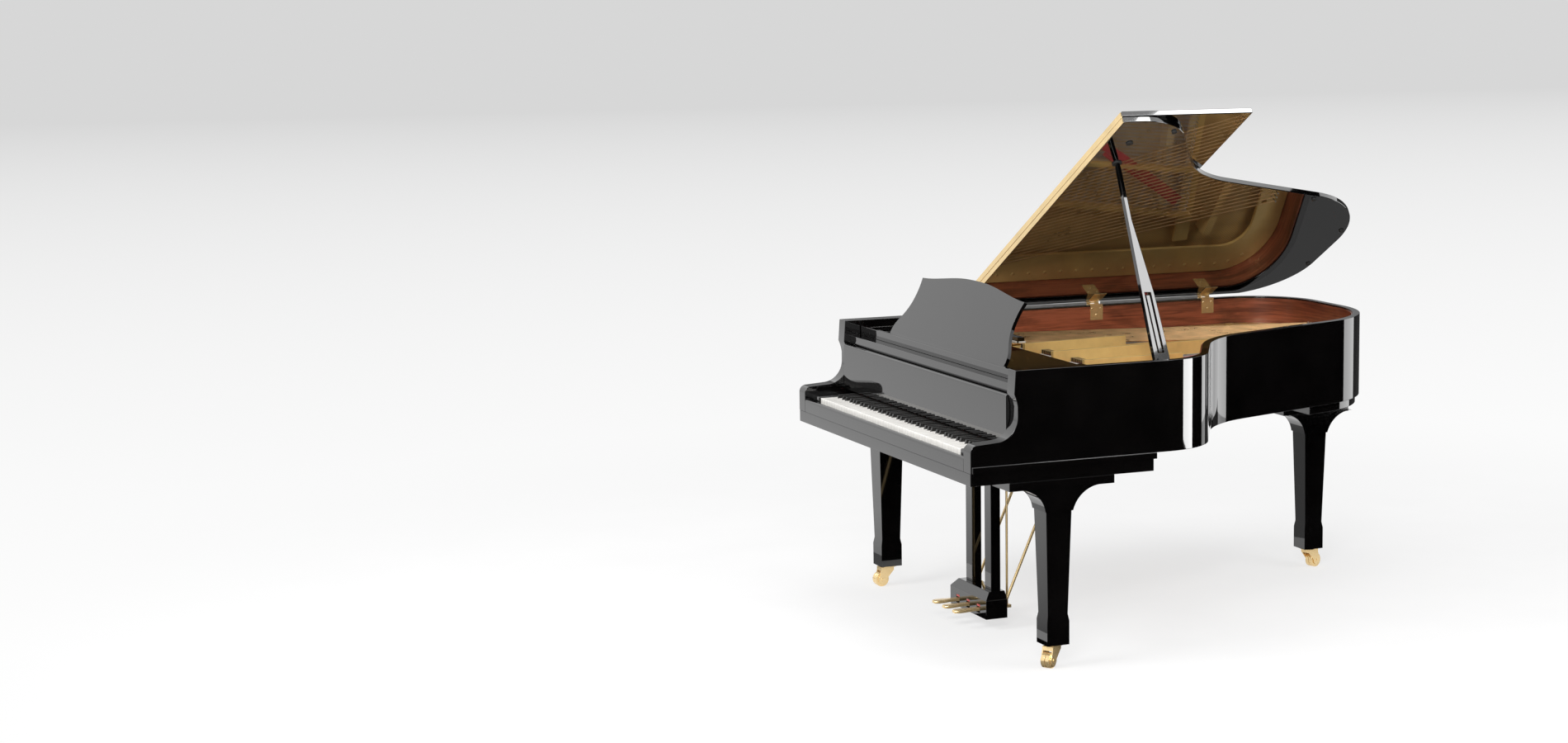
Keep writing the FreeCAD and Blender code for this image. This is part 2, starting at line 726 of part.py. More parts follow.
def make_side_hinge(y):
    # one hinge between the bass side and the lid: the leaf on the case and the leaf on the lid
    y0 = y - hinge_width / 2.0
    y1 = y + hinge_width / 2.0
    inner_y0 = y0 + hinge_width / 3.0
    inner_y1 = y1 - hinge_width / 3.0
    inner_x = -half_width + lining_face
    strap_top = rim_top + hinge_leaf
    plate = box(inner_x, inner_x + hinge_leaf, y0, y1, rim_top - hinge_drop, strap_top)
    strap = box(hinge_x + 1.0, inner_x + hinge_leaf, y0, y1, rim_top, strap_top)
    strap = strap.cut(box(hinge_x, -half_width + 1.0, inner_y0 - 1.0, inner_y1 + 1.0, rim_top, strap_top))
    pieces = [plate, strap, rod((hinge_x, y0, hinge_z), (hinge_x, y1, hinge_z), hinge_pin_r)]
    for a, b in ((y0, inner_y0 - face_gap), (inner_y1 + face_gap, y1)):
        pieces.append(rod((hinge_x, a, hinge_z), (hinge_x, b, hinge_z), barrel_r))
        pieces.append(box(hinge_x - 1.0, hinge_x + 1.0, a, b, rim_top, hinge_z))
    x0 = -half_width + 4.0
    x1 = -half_width + 20.0
    x2 = -half_width + 76.0
    neck = box(hinge_x, x1, inner_y0, inner_y1, hinge_z - lid_leaf_thick, hinge_z)
    outline = [(x0, inner_y0), (x1, y0), (x2, y0), (x2, y1), (x1, y1), (x0, inner_y1)]
    broad = flat_prism(outline, hinge_z - lid_leaf_thick, hinge_z)
    bore_r = hinge_pin_r + running_gap
    bore = rod((hinge_x, inner_y0, hinge_z), (hinge_x, inner_y1, hinge_z), bore_r)
    tube = ring_rod((hinge_x, inner_y0, hinge_z), (hinge_x, inner_y1, hinge_z), barrel_r, bore_r)
    return joined(pieces), joined([neck.cut(bore), broad, tube])


def make_lid():
    whole = case_block(-lid_overhang, upper_front - 6.0, hinge_z, hinge_z + lid_thick)
    trim = box(-half_width - 60.0, -half_width + 1.0, -60.0, tail_y + 60.0,
               hinge_z - 1.0, hinge_z + lid_thick + 1.0)
    whole = whole.cut(trim)
    front_zone = box(-900.0, 900.0, -100.0, fold_y, hinge_z - 50.0, hinge_z + 100.0)
    main = whole.cut(front_zone)
    flap = whole.common(front_zone)
    leaf_thick = 1.5
    lid_edge = fold_y + leaf_thick
    main = main.cut(box(-900.0, 900.0, fold_y - 10.0, lid_edge, hinge_z - 1.0, hinge_z + 60.0))
    save("lid", lid_opened(main))

    axis_z = hinge_z + lid_thick + fold_gap / 2.0
    folded = flap.cut(box(-900.0, 900.0, fold_y - leaf_thick, fold_y + 10.0, hinge_z - 1.0, hinge_z + 60.0))
    folded.rotate(V(0, fold_y, axis_z), V(1, 0, 0), 180.0)
    save("lid_flap", lid_opened(folded))

    x0 = -half_width + 12.0
    x1 = half_width
    leaf_clear = 0.8
    fold_r = 1.6
    lid_leaf = box(x0, x1, fold_y, lid_edge, hinge_z + 1.0, hinge_z + lid_thick - leaf_clear)
    lid_barrel = rod((x0, fold_y, axis_z), ((x0 + x1) / 2.0, fold_y, axis_z), fold_r)
    lid_web = box(x0, (x0 + x1) / 2.0, fold_y, lid_edge, hinge_z + lid_thick - 3.0, axis_z)
    save("flap_hinge_lid_leaf", lid_opened(joined([lid_leaf, lid_web, lid_barrel])))
    flap_leaf = box(x0, x1, fold_y, lid_edge, axis_z + fold_gap / 2.0 + leaf_clear, axis_z + lid_thick)
    middle = (x0 + x1) / 2.0 + face_gap
    flap_barrel = rod((middle, fold_y, axis_z), (x1, fold_y, axis_z), fold_r)
    flap_web = box(middle, x1, fold_y, lid_edge, axis_z, axis_z + fold_gap / 2.0 + 3.0)
    save("flap_hinge_flap_leaf", lid_opened(joined([flap_leaf, flap_web, flap_barrel])))

    rim_leaves = []
    lid_leaves = []
    for y in hinge_ys:
        rim_leaf, lid_leaf = make_side_hinge(y)
        rim_leaves.append(rim_leaf)
        lid_leaves.append(lid_opened(lid_leaf))
    save("rim_hinge_leaves", Part.makeCompound(rim_leaves))
    save("lid_hinge_leaves", Part.makeCompound(lid_leaves))

    fittings = []
    cup_x, cup_y = prop_touch
    for x, y, radius in ((cup_x, cup_y, 17.0), (cup_x + 150.0, cup_y - 20.0, 12.0)):
        fittings.append(rod((x, y, hinge_z - cup_depth), (x, y, hinge_z), radius))
    edge_points = case_points(13.0, fold_y, 60)
    for index in (4, 22, 29, 34):
        point = edge_points[index]
        fittings.append(rod((point.x, point.y, hinge_z - lid_gap + 0.5), (point.x, point.y, hinge_z), 9.0))
    save("lid_fittings", Part.makeCompound([lid_opened(piece) for piece in fittings]))


def prop_frame():
    # foot, tip, heading along the stick, heading across it and heading through its thickness
    angle = math.radians(lid_angle)
    reach = prop_touch[0] - hinge_x
    under = cup_depth + 2.0 * face_gap
    tip = V(hinge_x + reach * math.cos(angle) + under * math.sin(angle), prop_touch[1],
            hinge_z + reach * math.sin(angle) - under * math.cos(angle))
    foot = V(*prop_foot)
    along = tip.sub(foot)
    length = along.Length
    along.normalize()
    across = V(0, 1, 0).sub(V(along).multiply(along.y)).normalize()
    through = along.cross(across).normalize()
    return foot, length, along, across, through


def make_prop():
    foot, length, along, across, through = prop_frame()

    def place(u, w, t):
        return foot.add(V(along).multiply(u)).add(V(across).multiply(w)).add(V(through).multiply(t))

    def board(points, t0, t1):
        face = polygon_face([place(u, w, t0) for u, w in points])
        return face.extrude(V(through).multiply(t1 - t0))

    half = prop_thick / 2.0
    base = prop_base_width / 2.0
    tip = prop_tip_width / 2.0

    def front_edge(u):
        # the front edge is straight from the base to the tip, and only the back edge swells
        return -base + (base - tip) * (u - 60.0) / (length - 76.0)

    blade, blade_width = prop_blade
    neck, neck_width = prop_neck
    outline = [(-14.0, -base), (-14.0, base), (60.0, base), (blade, front_edge(blade) + blade_width),
               (neck, front_edge(neck) + neck_width), (length - 16.0, tip), (length, tip - 2.0),
               (length, 2.0 - tip), (length - 16.0, -tip), (60.0, -base)]
    stick = board(outline, -half, half)
    slot_half = prop_slot_width / 2.0
    slot_end = blade + 6.0
    slot = board([(40.0, -slot_half), (40.0, slot_half), (slot_end, slot_half), (slot_end, -slot_half)],
                 -half - 1.0, half + 1.0)
    pivot_hole = rod(tuple(place(0, 0, -half - 1.0)), tuple(place(0, 0, half + 1.0)), 6.0 + running_gap)
    save("lid_prop", stick.cut(slot).cut(pivot_hole))

    bar = short_prop_width / 2.0
    bar_end = slot_end - 10.0
    short = board([(44.0, -bar), (44.0, bar), (bar_end, bar), (bar_end, -bar)], -half + 2.0, half - 2.0)
    pin_reach = slot_half - 0.2
    pin = rod(tuple(place(54.0, -pin_reach, 0)), tuple(place(54.0, pin_reach, 0)), 4.0)
    save("short_prop", joined([short, pin]))

    pin = rod(tuple(place(0, 0, -half - 9.0)), tuple(place(0, 0, half + face_gap)), 6.0)
    cheek = board([(-60.0, -20.0), (-60.0, 20.0), (18.0, 20.0), (18.0, -20.0)], -half - 9.0, -half - face_gap)
    wall_x = half_width - lining_face
    wall_clear = 3.0
    cheek = cheek.cut(box(wall_x - wall_clear, wall_x + 80.0, 600.0, 840.0, 800.0, 1100.0))
    foot_x, foot_y = prop_foot[0], prop_foot[1]
    pad = box(wall_x - 6.0, wall_x, foot_y - 76.0, foot_y - 10.0, 890.0, 940.0)
    arm = box(foot_x - 4.0, wall_x - wall_clear, foot_y - 20.0, foot_y + 20.0, 890.0, 918.0)
    wide = base + 30.0
    room = [(-40.0, -wide), (-40.0, wide), (140.0, wide), (140.0, -wide)]
    keep_out = board(room, -half - face_gap, half + 60.0)
    save("prop_bracket", joined([cheek, pad, arm.cut(keep_out), pin]))


def frustum(low_sides, low_z, high_sides, high_z):
    # a block whose sides, as (x0, x1, y0, y1), change evenly from its bottom to its top
    rings = []
    for (x0, x1, y0, y1), z in ((low_sides, low_z), (high_sides, high_z)):
        rings.append([V(x0, y0, z), V(x1, y0, z), V(x1, y1, z), V(x0, y1, z)])
    low, high = rings
    faces = [polygon_face(low), polygon_face(high)]
    for index in range(4):
        after = (index + 1) % 4
        faces.append(polygon_face([low[index], low[after], high[after], high[index]]))
    return Part.makeSolid(Part.makeShell(faces))


def square_frustum(x, y, low_size, low_z, high_size, high_z):
    # a square post whose width changes evenly from its bottom to its top
    low = low_size / 2.0
    high = high_size / 2.0
    low_sides = (x - low, x + low, y - low, y + low)
    high_sides = (x - high, x + high, y - high, y + high)
    return frustum(low_sides, low_z, high_sides, high_z)


def make_leg(x, y):
    half = leg_top_size / 2.0
    rise = plate_under - leg_top
    front_foot = V(x - half, y - half, leg_top)
    front_head = V(x - half, y - half - flare_front, plate_under)
    back_foot = V(x - half, y + half, leg_top)
    back_head = V(x - half, y + half + flare_back, plate_under)
    front_middle = V(x - half, y - half - 0.317 * flare_front, leg_top + rise * 0.68)
    back_middle = V(x - half, y + half + 0.315 * flare_back, leg_top + rise * 0.68)
    front_curve = Part.Arc(front_foot, front_middle, front_head)
    back_curve = Part.Arc(back_head, back_middle, back_foot)
    edges = [front_curve.toShape(), Part.makeLine(front_head, back_head), back_curve.toShape(),
             Part.makeLine(back_foot, front_foot)]
    flare = Part.Face(Part.Wire(edges)).extrude(V(leg_top_size, 0, 0))
    spread_z = leg_ankle - foot_bevel
    taper = square_frustum(x, y, leg_ankle_size, leg_ankle, leg_top_size - 2.0 * leg_collar, leg_top)
    spread = square_frustum(x, y, leg_foot_size, spread_z, leg_ankle_size, leg_ankle)
    foot = square_frustum(x, y, leg_foot_size, leg_foot, leg_foot_size, spread_z)
    hole = rod((x, y, leg_foot - 1.0), (x, y, leg_foot + 24.0), stem_r + 1.0)
    return joined([flare, taper, spread, foot]).cut(hole)


def make_caster(number, x, y, heading, turn):
    # heading is -1 where the wheels trail to the front and 1 where they trail to the back
    # turn is how far the caster has swivelled from there, in degrees
    socket_top = leg_foot
    socket_bottom = leg_foot - 5.0
    socket = ring_rod((x, y, socket_bottom), (x, y, socket_top), 31.0, stem_r + running_gap)
    sleeve = ring_rod((x, y, socket_top), (x, y, leg_foot + 22.0), stem_r + 1.0, stem_r + running_gap)
    socket = joined([socket, sleeve])

    def swivelled(shape):
        return shape.rotated(V(x, y, 0), V(0, 0, 1), turn)

    axle_y = y + heading * caster_trail
    top = socket_bottom - face_gap
    crown_bottom = 2.0 * wheel_r + fork_clear
    inner = wheel_width + 4.0 * face_gap
    outer = inner + fork_thick
    stem = rod((x, y, top - 3.0), (x, y, leg_foot + 20.0), stem_r)
    crown_ends = sorted((y - heading * 16.0, axle_y + heading * 6.0))
    crown = box(x - outer, x + outer, crown_ends[0], crown_ends[1], crown_bottom, top)
    axle = rod((x - outer - 2.0, axle_y, wheel_r), (x + outer + 2.0, axle_y, wheel_r), axle_r)
    eye_side = 0.9 * fork_eye_r
    pieces = [stem, crown, axle]
    for sign in (-1.0, 1.0):
        sides = sorted((x + sign * inner, x + sign * outer))
        profile = [(crown_ends[0], crown_bottom + 2.0), (crown_ends[1], crown_bottom + 2.0),
                   (axle_y + eye_side, wheel_r), (axle_y - eye_side, wheel_r)]
        cheek = side_prism(profile, sides[0], sides[1])
        eye = rod((sides[0], axle_y, wheel_r), (sides[1], axle_y, wheel_r), fork_eye_r)
        pieces += [cheek, eye]
    save("caster_fork_" + str(number), swivelled(joined(pieces)))

    wheels = []
    for sign in (-1.0, 1.0):
        near = x + sign * 2.0 * face_gap
        far = near + sign * wheel_width
        tyre = ring_rod((near, axle_y, wheel_r), (far, axle_y, wheel_r), wheel_r, axle_r + running_gap)
        tyre = edge_softened(tyre, 2.0, lambda edge: edge.BoundBox.XLength < 0.1
                             and edge.BoundBox.YLength > wheel_r)
        wheels.append(swivelled(tyre))
    save("caster_wheels_" + str(number), Part.makeCompound(wheels))
    return socket


def make_supports():
    legs = []
    sockets = []
    for number, (x, y) in enumerate(leg_places, 1):
        legs.append(make_leg(x, y))
        sockets.append(make_caster(number, x, y, caster_headings[number - 1], caster_turns[number - 1]))
    save("legs", Part.makeCompound(legs))
    save("caster_sockets", Part.makeCompound(sockets))

    leg_x, leg_y = leg_places[0]
    half = leg_top_size / 2.0
    front_plate = box(leg_x - half - 29.0, leg_x + half + plate_border, leg_y - half - flare_front - 46.0,
                      leg_y + half + flare_back + 39.0, plate_under, bed_bottom)
    tail_x, leg_y = leg_places[2]
    tail_plate = box(tail_x - half - 16.0, tail_x + half + 16.0, leg_y - half - flare_front - 19.0,
                     tail_y - 20.0, plate_under, tail_board)
    tail_zone = box(-half_width, half_width, tail_y - 392.0, tail_y, tail_board, rim_bottom)
    base = case_block(14.0, 0.0, tail_board, rim_bottom).common(tail_zone)
    save("leg_plates", Part.makeCompound(both_sides(front_plate) + [tail_plate, base]))


def make_lyre():
    head = box(-pedal_box_half + 10.0, pedal_box_half - 10.0, 340.0, 420.0, 596.0, bed_bottom)
    post = box(post_x[0], post_x[1], post_y[0], post_y[1], pedal_box_top, 596.0)
    save("lyre_frame", joined([head] + both_sides(post)))

    half = pedal_box_half
    case = box(-half, half, pedal_box_y[0], pedal_box_y[1], pedal_box_z[0], pedal_box_z[1])
    roof_half = half - pedal_box_slope
    roof_front = pedal_box_y[0] + pedal_box_slope
    roof = frustum((-half, half, pedal_box_y[0], pedal_box_y[1]), pedal_box_z[1],
                   (-roof_half, roof_half, roof_front, pedal_box_y[1]), pedal_box_top)
    case = joined([case, roof])
    slot_half = 13.0
    for number in (-1, 0, 1):
        x = number * pedal_pitch
        slot = box(x - slot_half, x + slot_half, pedal_box_y[0] - 1.0, pedal_box_y[1] + 1.0, 53.0, 82.0)
        case = case.cut(slot)
    save("pedal_box", case)

    for number, name in ((-1, "left"), (0, "middle"), (1, "right")):
        x = number * pedal_pitch
        z = pedal_axis[1]
        lever = box(x - 10.0, x + 10.0, 310.0, 442.0, z - 5.0, z + 5.0)
        outline = [(x - 10.0, 312.0), (x - 10.0, 296.0), (x - 18.0, 262.0), (x - 18.0, 242.0)]
        outline += [(x - 11.0, pedal_tip_y)]
        outline += [(2.0 * x - side_x, y) for side_x, y in reversed(outline)]
        toe = flat_prism(outline, z - 5.0, z + 5.0)
        toe = edge_softened(toe, 4.0, lambda edge: edge.BoundBox.ZMin > z + 4.9 and edge.BoundBox.YMax < 311)
        pin = rod((x - slot_half + 0.2, pedal_axis[0], z), (x + slot_half - 0.2, pedal_axis[0], z), 4.0)
        save("pedal_" + name, joined([lever, toe, pin]))
        save("pedal_rod_" + name, rod((x, rod_y, z + 5.0 + rest_gap), (x, rod_y, bed_bottom - 6.0), rod_r))

    braces = []
    case_solid = box(-half, half, pedal_box_y[0], pedal_box_y[1], pedal_box_z[0], pedal_box_z[1])
    under_bed = box(-half_width, half_width, 0, bed_back, bed_bottom, arm_bottom)
    brace = rod((128.0, pedal_box_y[1] - 8.0, 66.0), (128.0, 642.0, bed_bottom + 4.0), 5.0)
    braces += both_sides(brace.cut(case_solid).cut(under_bed))
    save("lyre_braces", Part.makeCompound(braces))


os.makedirs("parts", exist_ok=True)
make_strung_frame(make_case())
make_keyboard()
make_fall_and_desk()
make_lid()
make_prop()
make_supports()
make_lyre()
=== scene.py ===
"""Finishes, felts, strings and small fittings for a grand piano with its lid open."""

import json
import math

import bmesh
import bpy
from mathutils import Matrix, Vector
from mathutils.bvhtree import BVHTree


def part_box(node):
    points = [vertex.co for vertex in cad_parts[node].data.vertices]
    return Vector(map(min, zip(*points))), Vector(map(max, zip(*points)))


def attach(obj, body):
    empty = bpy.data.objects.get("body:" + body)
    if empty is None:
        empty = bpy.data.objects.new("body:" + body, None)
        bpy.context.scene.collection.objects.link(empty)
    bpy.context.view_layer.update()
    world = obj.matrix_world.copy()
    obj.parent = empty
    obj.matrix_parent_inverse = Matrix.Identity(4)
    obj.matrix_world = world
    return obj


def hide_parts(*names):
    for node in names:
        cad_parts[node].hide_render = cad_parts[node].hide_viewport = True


bl_info = {
    "name": "Grand piano finish",
    "version": (1, 0, 0),
    "blender": (4, 5, 0),
    "location": "View3D > Sidebar > Piano",
    "description": "Lacquer, veneer, felts, strings and small fittings for a grand piano",
    "category": "Object",
}

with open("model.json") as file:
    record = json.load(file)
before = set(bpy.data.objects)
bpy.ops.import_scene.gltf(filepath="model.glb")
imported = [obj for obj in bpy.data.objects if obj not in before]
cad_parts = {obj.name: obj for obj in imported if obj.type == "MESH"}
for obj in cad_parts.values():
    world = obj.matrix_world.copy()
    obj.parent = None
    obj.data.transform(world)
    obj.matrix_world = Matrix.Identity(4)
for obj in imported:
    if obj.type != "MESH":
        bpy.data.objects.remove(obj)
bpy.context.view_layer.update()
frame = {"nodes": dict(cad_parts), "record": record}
nodes = frame["nodes"]
bodies = frame["record"]["behaviour"]["bodies"]
body_of_node = {node: body for body, members in bodies.items() for node in members}
slot_of_node = {entry["node"]: entry["material_slot"] for entry in frame["record"]["subparts"]}

# Measures, in metres; angles in radians

# points of a solid closer than this are one point, and faces this near to level with each other are one face
seam_width = 1e-6
flat_angle = math.radians(0.4)
# edges that turn more than this are rounded on the solids, and stay sharp on the small pieces
sharp_angle = math.radians(35.0)

# rounding of the lid and the dampers beside that of the case, and of the iron frame beside that of the brass
lid_edge_share = 1.6
damper_edge_share = 0.5
frame_edge_share = 3.0

# pins of the second and third strings: lower than the others, one before and one behind
pin_drop = 0.012
pin_stagger = 0.012
pin_setback = 0.004
pin_radius = 0.0032

# felt behind the keys, from the front of the crosspiece
key_felt_setback = 0.002
key_felt_width = 0.010
key_felt_clearance = 0.0015
key_felt_edge = 0.0008

# lid hinges, and the felt strip on the rim beside them
hinge_spacing = 0.473
hinge_clearance = 0.003
lid_rest_start = 0.01
lid_rest_inset = 0.006
lid_rest_width = 0.006
lid_rest_height = 0.0095
lid_rest_edge = 0.001

# cloths on the strings: the line each one follows, and its width
cloth_lift = 0.0004
cloth_thickness = 0.0022
cloth_lines = {
    "treble_cloth": ([(0.549, -0.241), (0.441, -0.176), (0.334, -0.109), (0.241, -0.024), (0.167, 0.078),
                      (0.115, 0.193), (0.084, 0.316)], 0.026),
    "tenor_cloth": ([(-0.06, 0.02), (-0.154, 0.181), (-0.289, 0.383), (-0.36, 0.48)], 0.030),
    "middle_cloth": ([(-0.14, 0.11), (-0.223, 0.238), (-0.319, 0.385), (-0.38, 0.47)], 0.016),
    "front_cloth": ([(0.58, -0.352), (-0.28, -0.352)], 0.014),
}

# felt beside the tuning pins
pin_felt_reach = 0.62
pin_felt_y = -0.432
pin_felt_width = 0.014
pin_felt_height = 0.0105

# damper felts, and the smallest foot of a damper in square metres
pad_half_width = 0.0042
pad_half_length = 0.0135
pad_below = 0.0002
pad_above = 0.006
damper_foot_area = 1e-5

# bolts along the edges of the iron frame
bolt_rows = 18
bolt_start = -0.26
bolt_pitch = 0.066
bolt_inset = 0.034
bolt_height = 0.0018
frame_edge_drop = 0.004

# stars in the sound holes
star_places = ((0.64, -0.288), (0.585, -0.252))
star_arms = 5
star_drop = 0.004
star_reach = 0.0238
star_arm_radius = 0.0024
hub_radius = 0.006
hub_below = 0.004
hub_above = 0.003

# string rests
rest_y = -0.362
rest_half_width = 0.0045
rest_half_length = 0.003
rest_below = 0.006
rest_above = 0.0045

# screws of the lid hinges: two high ones side by side and a low one between, from the top of the leaf
screw_spread = 0.017
high_screw = 0.022
low_screw = 0.046
screw_radius = 0.0042
screw_height = 0.0012

# felts in the pedal slots, from the front of the pedal box
slot_half_width = 0.0125
slot_front = 0.0004
slot_back = 0.012
slot_top = 0.0815
slot_clearance = 0.004
slot_felt_edge = 0.001

# collars of the pedal rods: a flange under the keybed and a sleeve under that
bore_clearance = 0.0006
flange_depth = 0.004
flange_radius = 0.013
sleeve_depth = 0.009
sleeve_radius = 0.009
ring_gap = 0.0001

# floor: its radius, where the shade on it starts to fade and ends, and its dim and its bright end along X
floor_radius = 400.0
shade_start = 1.6
shade_end = 4.5
far_paper_x = -34.0
near_paper_x = -1.0

# camera: width of its sensor in millimetres, and how far it sees
sensor_width = 36.0
sight = 1000.0


# Settings

class PianoColours(bpy.types.PropertyGroup):
    """Colours of the piano's finishes"""

    lacquer: bpy.props.FloatVectorProperty(
        name="Lacquer", description="Black polyester lacquer of the case", subtype="COLOR", size=3,
        min=0.0, max=1.0, default=(0.0018, 0.0016, 0.0016))
    mahogany: bpy.props.FloatVectorProperty(
        name="Mahogany", description="Veneer inside the rim", subtype="COLOR", size=3,
        min=0.0, max=1.0, default=(0.205, 0.055, 0.026))
    spruce: bpy.props.FloatVectorProperty(
        name="Spruce", description="Soundboard", subtype="COLOR", size=3,
        min=0.0, max=1.0, default=(0.60, 0.38, 0.14))
    beech: bpy.props.FloatVectorProperty(
        name="Beech", description="Key frame, action and bracing", subtype="COLOR", size=3,
        min=0.0, max=1.0, default=(0.46, 0.30, 0.16))
    gold: bpy.props.FloatVectorProperty(
        name="Bronze gold", description="Sprayed iron frame", subtype="COLOR", size=3,
        min=0.0, max=1.0, default=(0.90, 0.61, 0.22))
    brass: bpy.props.FloatVectorProperty(
        name="Brass", description="Hinges, pedals, rods and casters", subtype="COLOR", size=3,
        min=0.0, max=1.0, default=(0.88, 0.66, 0.34))
    felt: bpy.props.FloatVectorProperty(
        name="Felt", description="Red felt and stringing cloth", subtype="COLOR", size=3,
        min=0.0, max=1.0, default=(0.46, 0.04, 0.035))
    ivory: bpy.props.FloatVectorProperty(
        name="Natural keys", description="White key covering", subtype="COLOR", size=3,
        min=0.0, max=1.0, default=(0.86, 0.84, 0.80))


class PianoSizes(bpy.types.PropertyGroup):
    """Sizes of the softened edges and the small fittings"""

    case_edge: bpy.props.FloatProperty(
        name="Case edge", description="Rounding of the lacquered edges",
        subtype="DISTANCE", unit="LENGTH", min=0.0, default=0.0016)
    key_edge: bpy.props.FloatProperty(
        name="Key edge", description="Rounding of the key covers",
        subtype="DISTANCE", unit="LENGTH", min=0.0, default=0.0009)
    metal_edge: bpy.props.FloatProperty(
        name="Metal edge", description="Rounding of brass and iron edges",
        subtype="DISTANCE", unit="LENGTH", min=0.0, default=0.0006)
    wire_radius: bpy.props.FloatProperty(
        name="Wire radius", description="Radius of a plain string",
        subtype="DISTANCE", unit="LENGTH", min=0.0, default=0.0006)
    wire_pitch: bpy.props.FloatProperty(
        name="Wire pitch", description="Distance between strings of one note",
        subtype="DISTANCE", unit="LENGTH", min=0.0, default=0.0042)
    bolt_radius: bpy.props.FloatProperty(
        name="Bolt radius", description="Radius of the domed bolts of the iron frame",
        subtype="DISTANCE", unit="LENGTH", min=0.0, default=0.0075)


class PianoStage(bpy.types.PropertyGroup):
    """Camera and light of the stage"""

    eye: bpy.props.FloatVectorProperty(
        name="Eye", description="Place of the camera", subtype="TRANSLATION", unit="LENGTH", size=3,
        default=(8.952, -4.6885, 2.2553))
    heading: bpy.props.FloatProperty(
        name="Heading", description="Turn of the view from +Y toward -X", subtype="ANGLE", unit="ROTATION",
        default=1.1099)
    pitch: bpy.props.FloatProperty(
        name="Pitch", description="Tilt of the view above the horizon", subtype="ANGLE", unit="ROTATION",
        default=-0.1403)
    roll: bpy.props.FloatProperty(
        name="Roll", description="Turn of the view about its own line", subtype="ANGLE", unit="ROTATION",
        default=0.001)
    lens: bpy.props.FloatProperty(
        name="Lens", description="Focal length for a sensor 36 mm wide", unit="CAMERA",
        min=1.0, default=66.94)
    shift_x: bpy.props.FloatProperty(
        name="Shift", description="Sideways shift of the frame", default=-0.1895)
    key_watts: bpy.props.FloatProperty(
        name="Key light", description="Power of the large soft light at the treble side", subtype="POWER",
        unit="POWER", min=0.0, default=230.0)
    top_watts: bpy.props.FloatProperty(
        name="Top light", description="Power of the soft light overhead", subtype="POWER", unit="POWER",
        min=0.0, default=110.0)
    front_watts: bpy.props.FloatProperty(
        name="Front light", description="Power of the soft light over the keyboard", subtype="POWER",
        unit="POWER", min=0.0, default=190.0)
    edge_watts: bpy.props.FloatProperty(
        name="Edge light", description="Power of the strip light behind the bent side", subtype="POWER",
        unit="POWER", min=0.0, default=60.0)
    fill: bpy.props.FloatProperty(
        name="Fill", description="Strength of the even light from all round", min=0.0, default=0.5)
    near_paper: bpy.props.FloatProperty(
        name="Near paper", description="Brightness of the floor around the piano", subtype="FACTOR",
        min=0.0, max=1.0, default=0.98)
    far_paper: bpy.props.FloatProperty(
        name="Far paper", description="Brightness of the floor far behind the piano", subtype="FACTOR",
        min=0.0, max=1.0, default=0.68)
    shade_share: bpy.props.FloatProperty(
        name="Shade share", description="How much of the floor near the piano takes its shadow",
        subtype="FACTOR", min=0.0, max=1.0, default=0.3)


def colours():
    return bpy.context.scene.piano_colours


def sizes():
    return bpy.context.scene.piano_sizes


# Materials

def start_material(name):
    material = bpy.data.materials.new(name)
    material.use_nodes = True
    tree = material.node_tree
    return material, tree, tree.nodes["Principled BSDF"]


def placed(tree, scale=(1.0, 1.0, 1.0), turn=(0.0, 0.0, 0.0)):
    coordinates = tree.nodes.new("ShaderNodeTexCoord")
    mapping = tree.nodes.new("ShaderNodeMapping")
    mapping.inputs["Scale"].default_value = scale
    mapping.inputs["Rotation"].default_value = turn
    tree.links.new(coordinates.outputs["Object"], mapping.inputs["Vector"])
    return mapping.outputs["Vector"]


def cloud(tree, vector, scale, detail, roughness=0.5, distortion=0.0):
    node = tree.nodes.new("ShaderNodeTexNoise")
    node.inputs["Scale"].default_value = scale
    node.inputs["Detail"].default_value = detail
    node.inputs["Roughness"].default_value = roughness
    node.inputs["Distortion"].default_value = distortion
    tree.links.new(vector, node.inputs["Vector"])
    return node.outputs["Fac"]


def bands(tree, vector, scale, distortion, detail):
    node = tree.nodes.new("ShaderNodeTexWave")
    node.inputs["Scale"].default_value = scale
    node.inputs["Distortion"].default_value = distortion
    node.inputs["Detail"].default_value = detail
    tree.links.new(vector, node.inputs["Vector"])
    return node.outputs["Fac"]


def added(tree, first, second, share):
    # first plus a share of second
    node = tree.nodes.new("ShaderNodeMath")
    node.operation = "MULTIPLY_ADD"
    node.inputs[1].default_value = share
    tree.links.new(second, node.inputs[0])
    tree.links.new(first, node.inputs[2])
    return node.outputs["Value"]


def toned(tree, value, stops):
    node = tree.nodes.new("ShaderNodeValToRGB")
    elements = node.color_ramp.elements
    while len(elements) < len(stops):
        elements.new(0.5)
    for element, (position, colour) in zip(elements, stops):
        element.position = position
        element.color = (colour[0], colour[1], colour[2], 1.0)
    tree.links.new(value, node.inputs["Fac"])
    return node.outputs["Color"]


def ranged(tree, value, low, high):
    node = tree.nodes.new("ShaderNodeMapRange")
    node.inputs["To Min"].default_value = low
    node.inputs["To Max"].default_value = high
    tree.links.new(value, node.inputs["Value"])
    return node.outputs["Result"]


def graded(tree, start, end, low, high):
    # runs from low to high between two places along X
    place = tree.nodes.new("ShaderNodeTexCoord")
    across = tree.nodes.new("ShaderNodeSeparateXYZ")
    tree.links.new(place.outputs["Object"], across.inputs["Vector"])
    tone = tree.nodes.new("ShaderNodeMapRange")
    tone.inputs["From Min"].default_value = start
    tone.inputs["From Max"].default_value = end
    tone.inputs["To Min"].default_value = low
    tone.inputs["To Max"].default_value = high
    tree.links.new(across.outputs["X"], tone.inputs["Value"])
    return tone.outputs["Result"]


def raised(tree, shader, height, strength, distance):
    node = tree.nodes.new("ShaderNodeBump")
    node.inputs["Strength"].default_value = strength
    node.inputs["Distance"].default_value = distance
    tree.links.new(height, node.inputs["Height"])
    tree.links.new(node.outputs["Normal"], shader.inputs["Normal"])


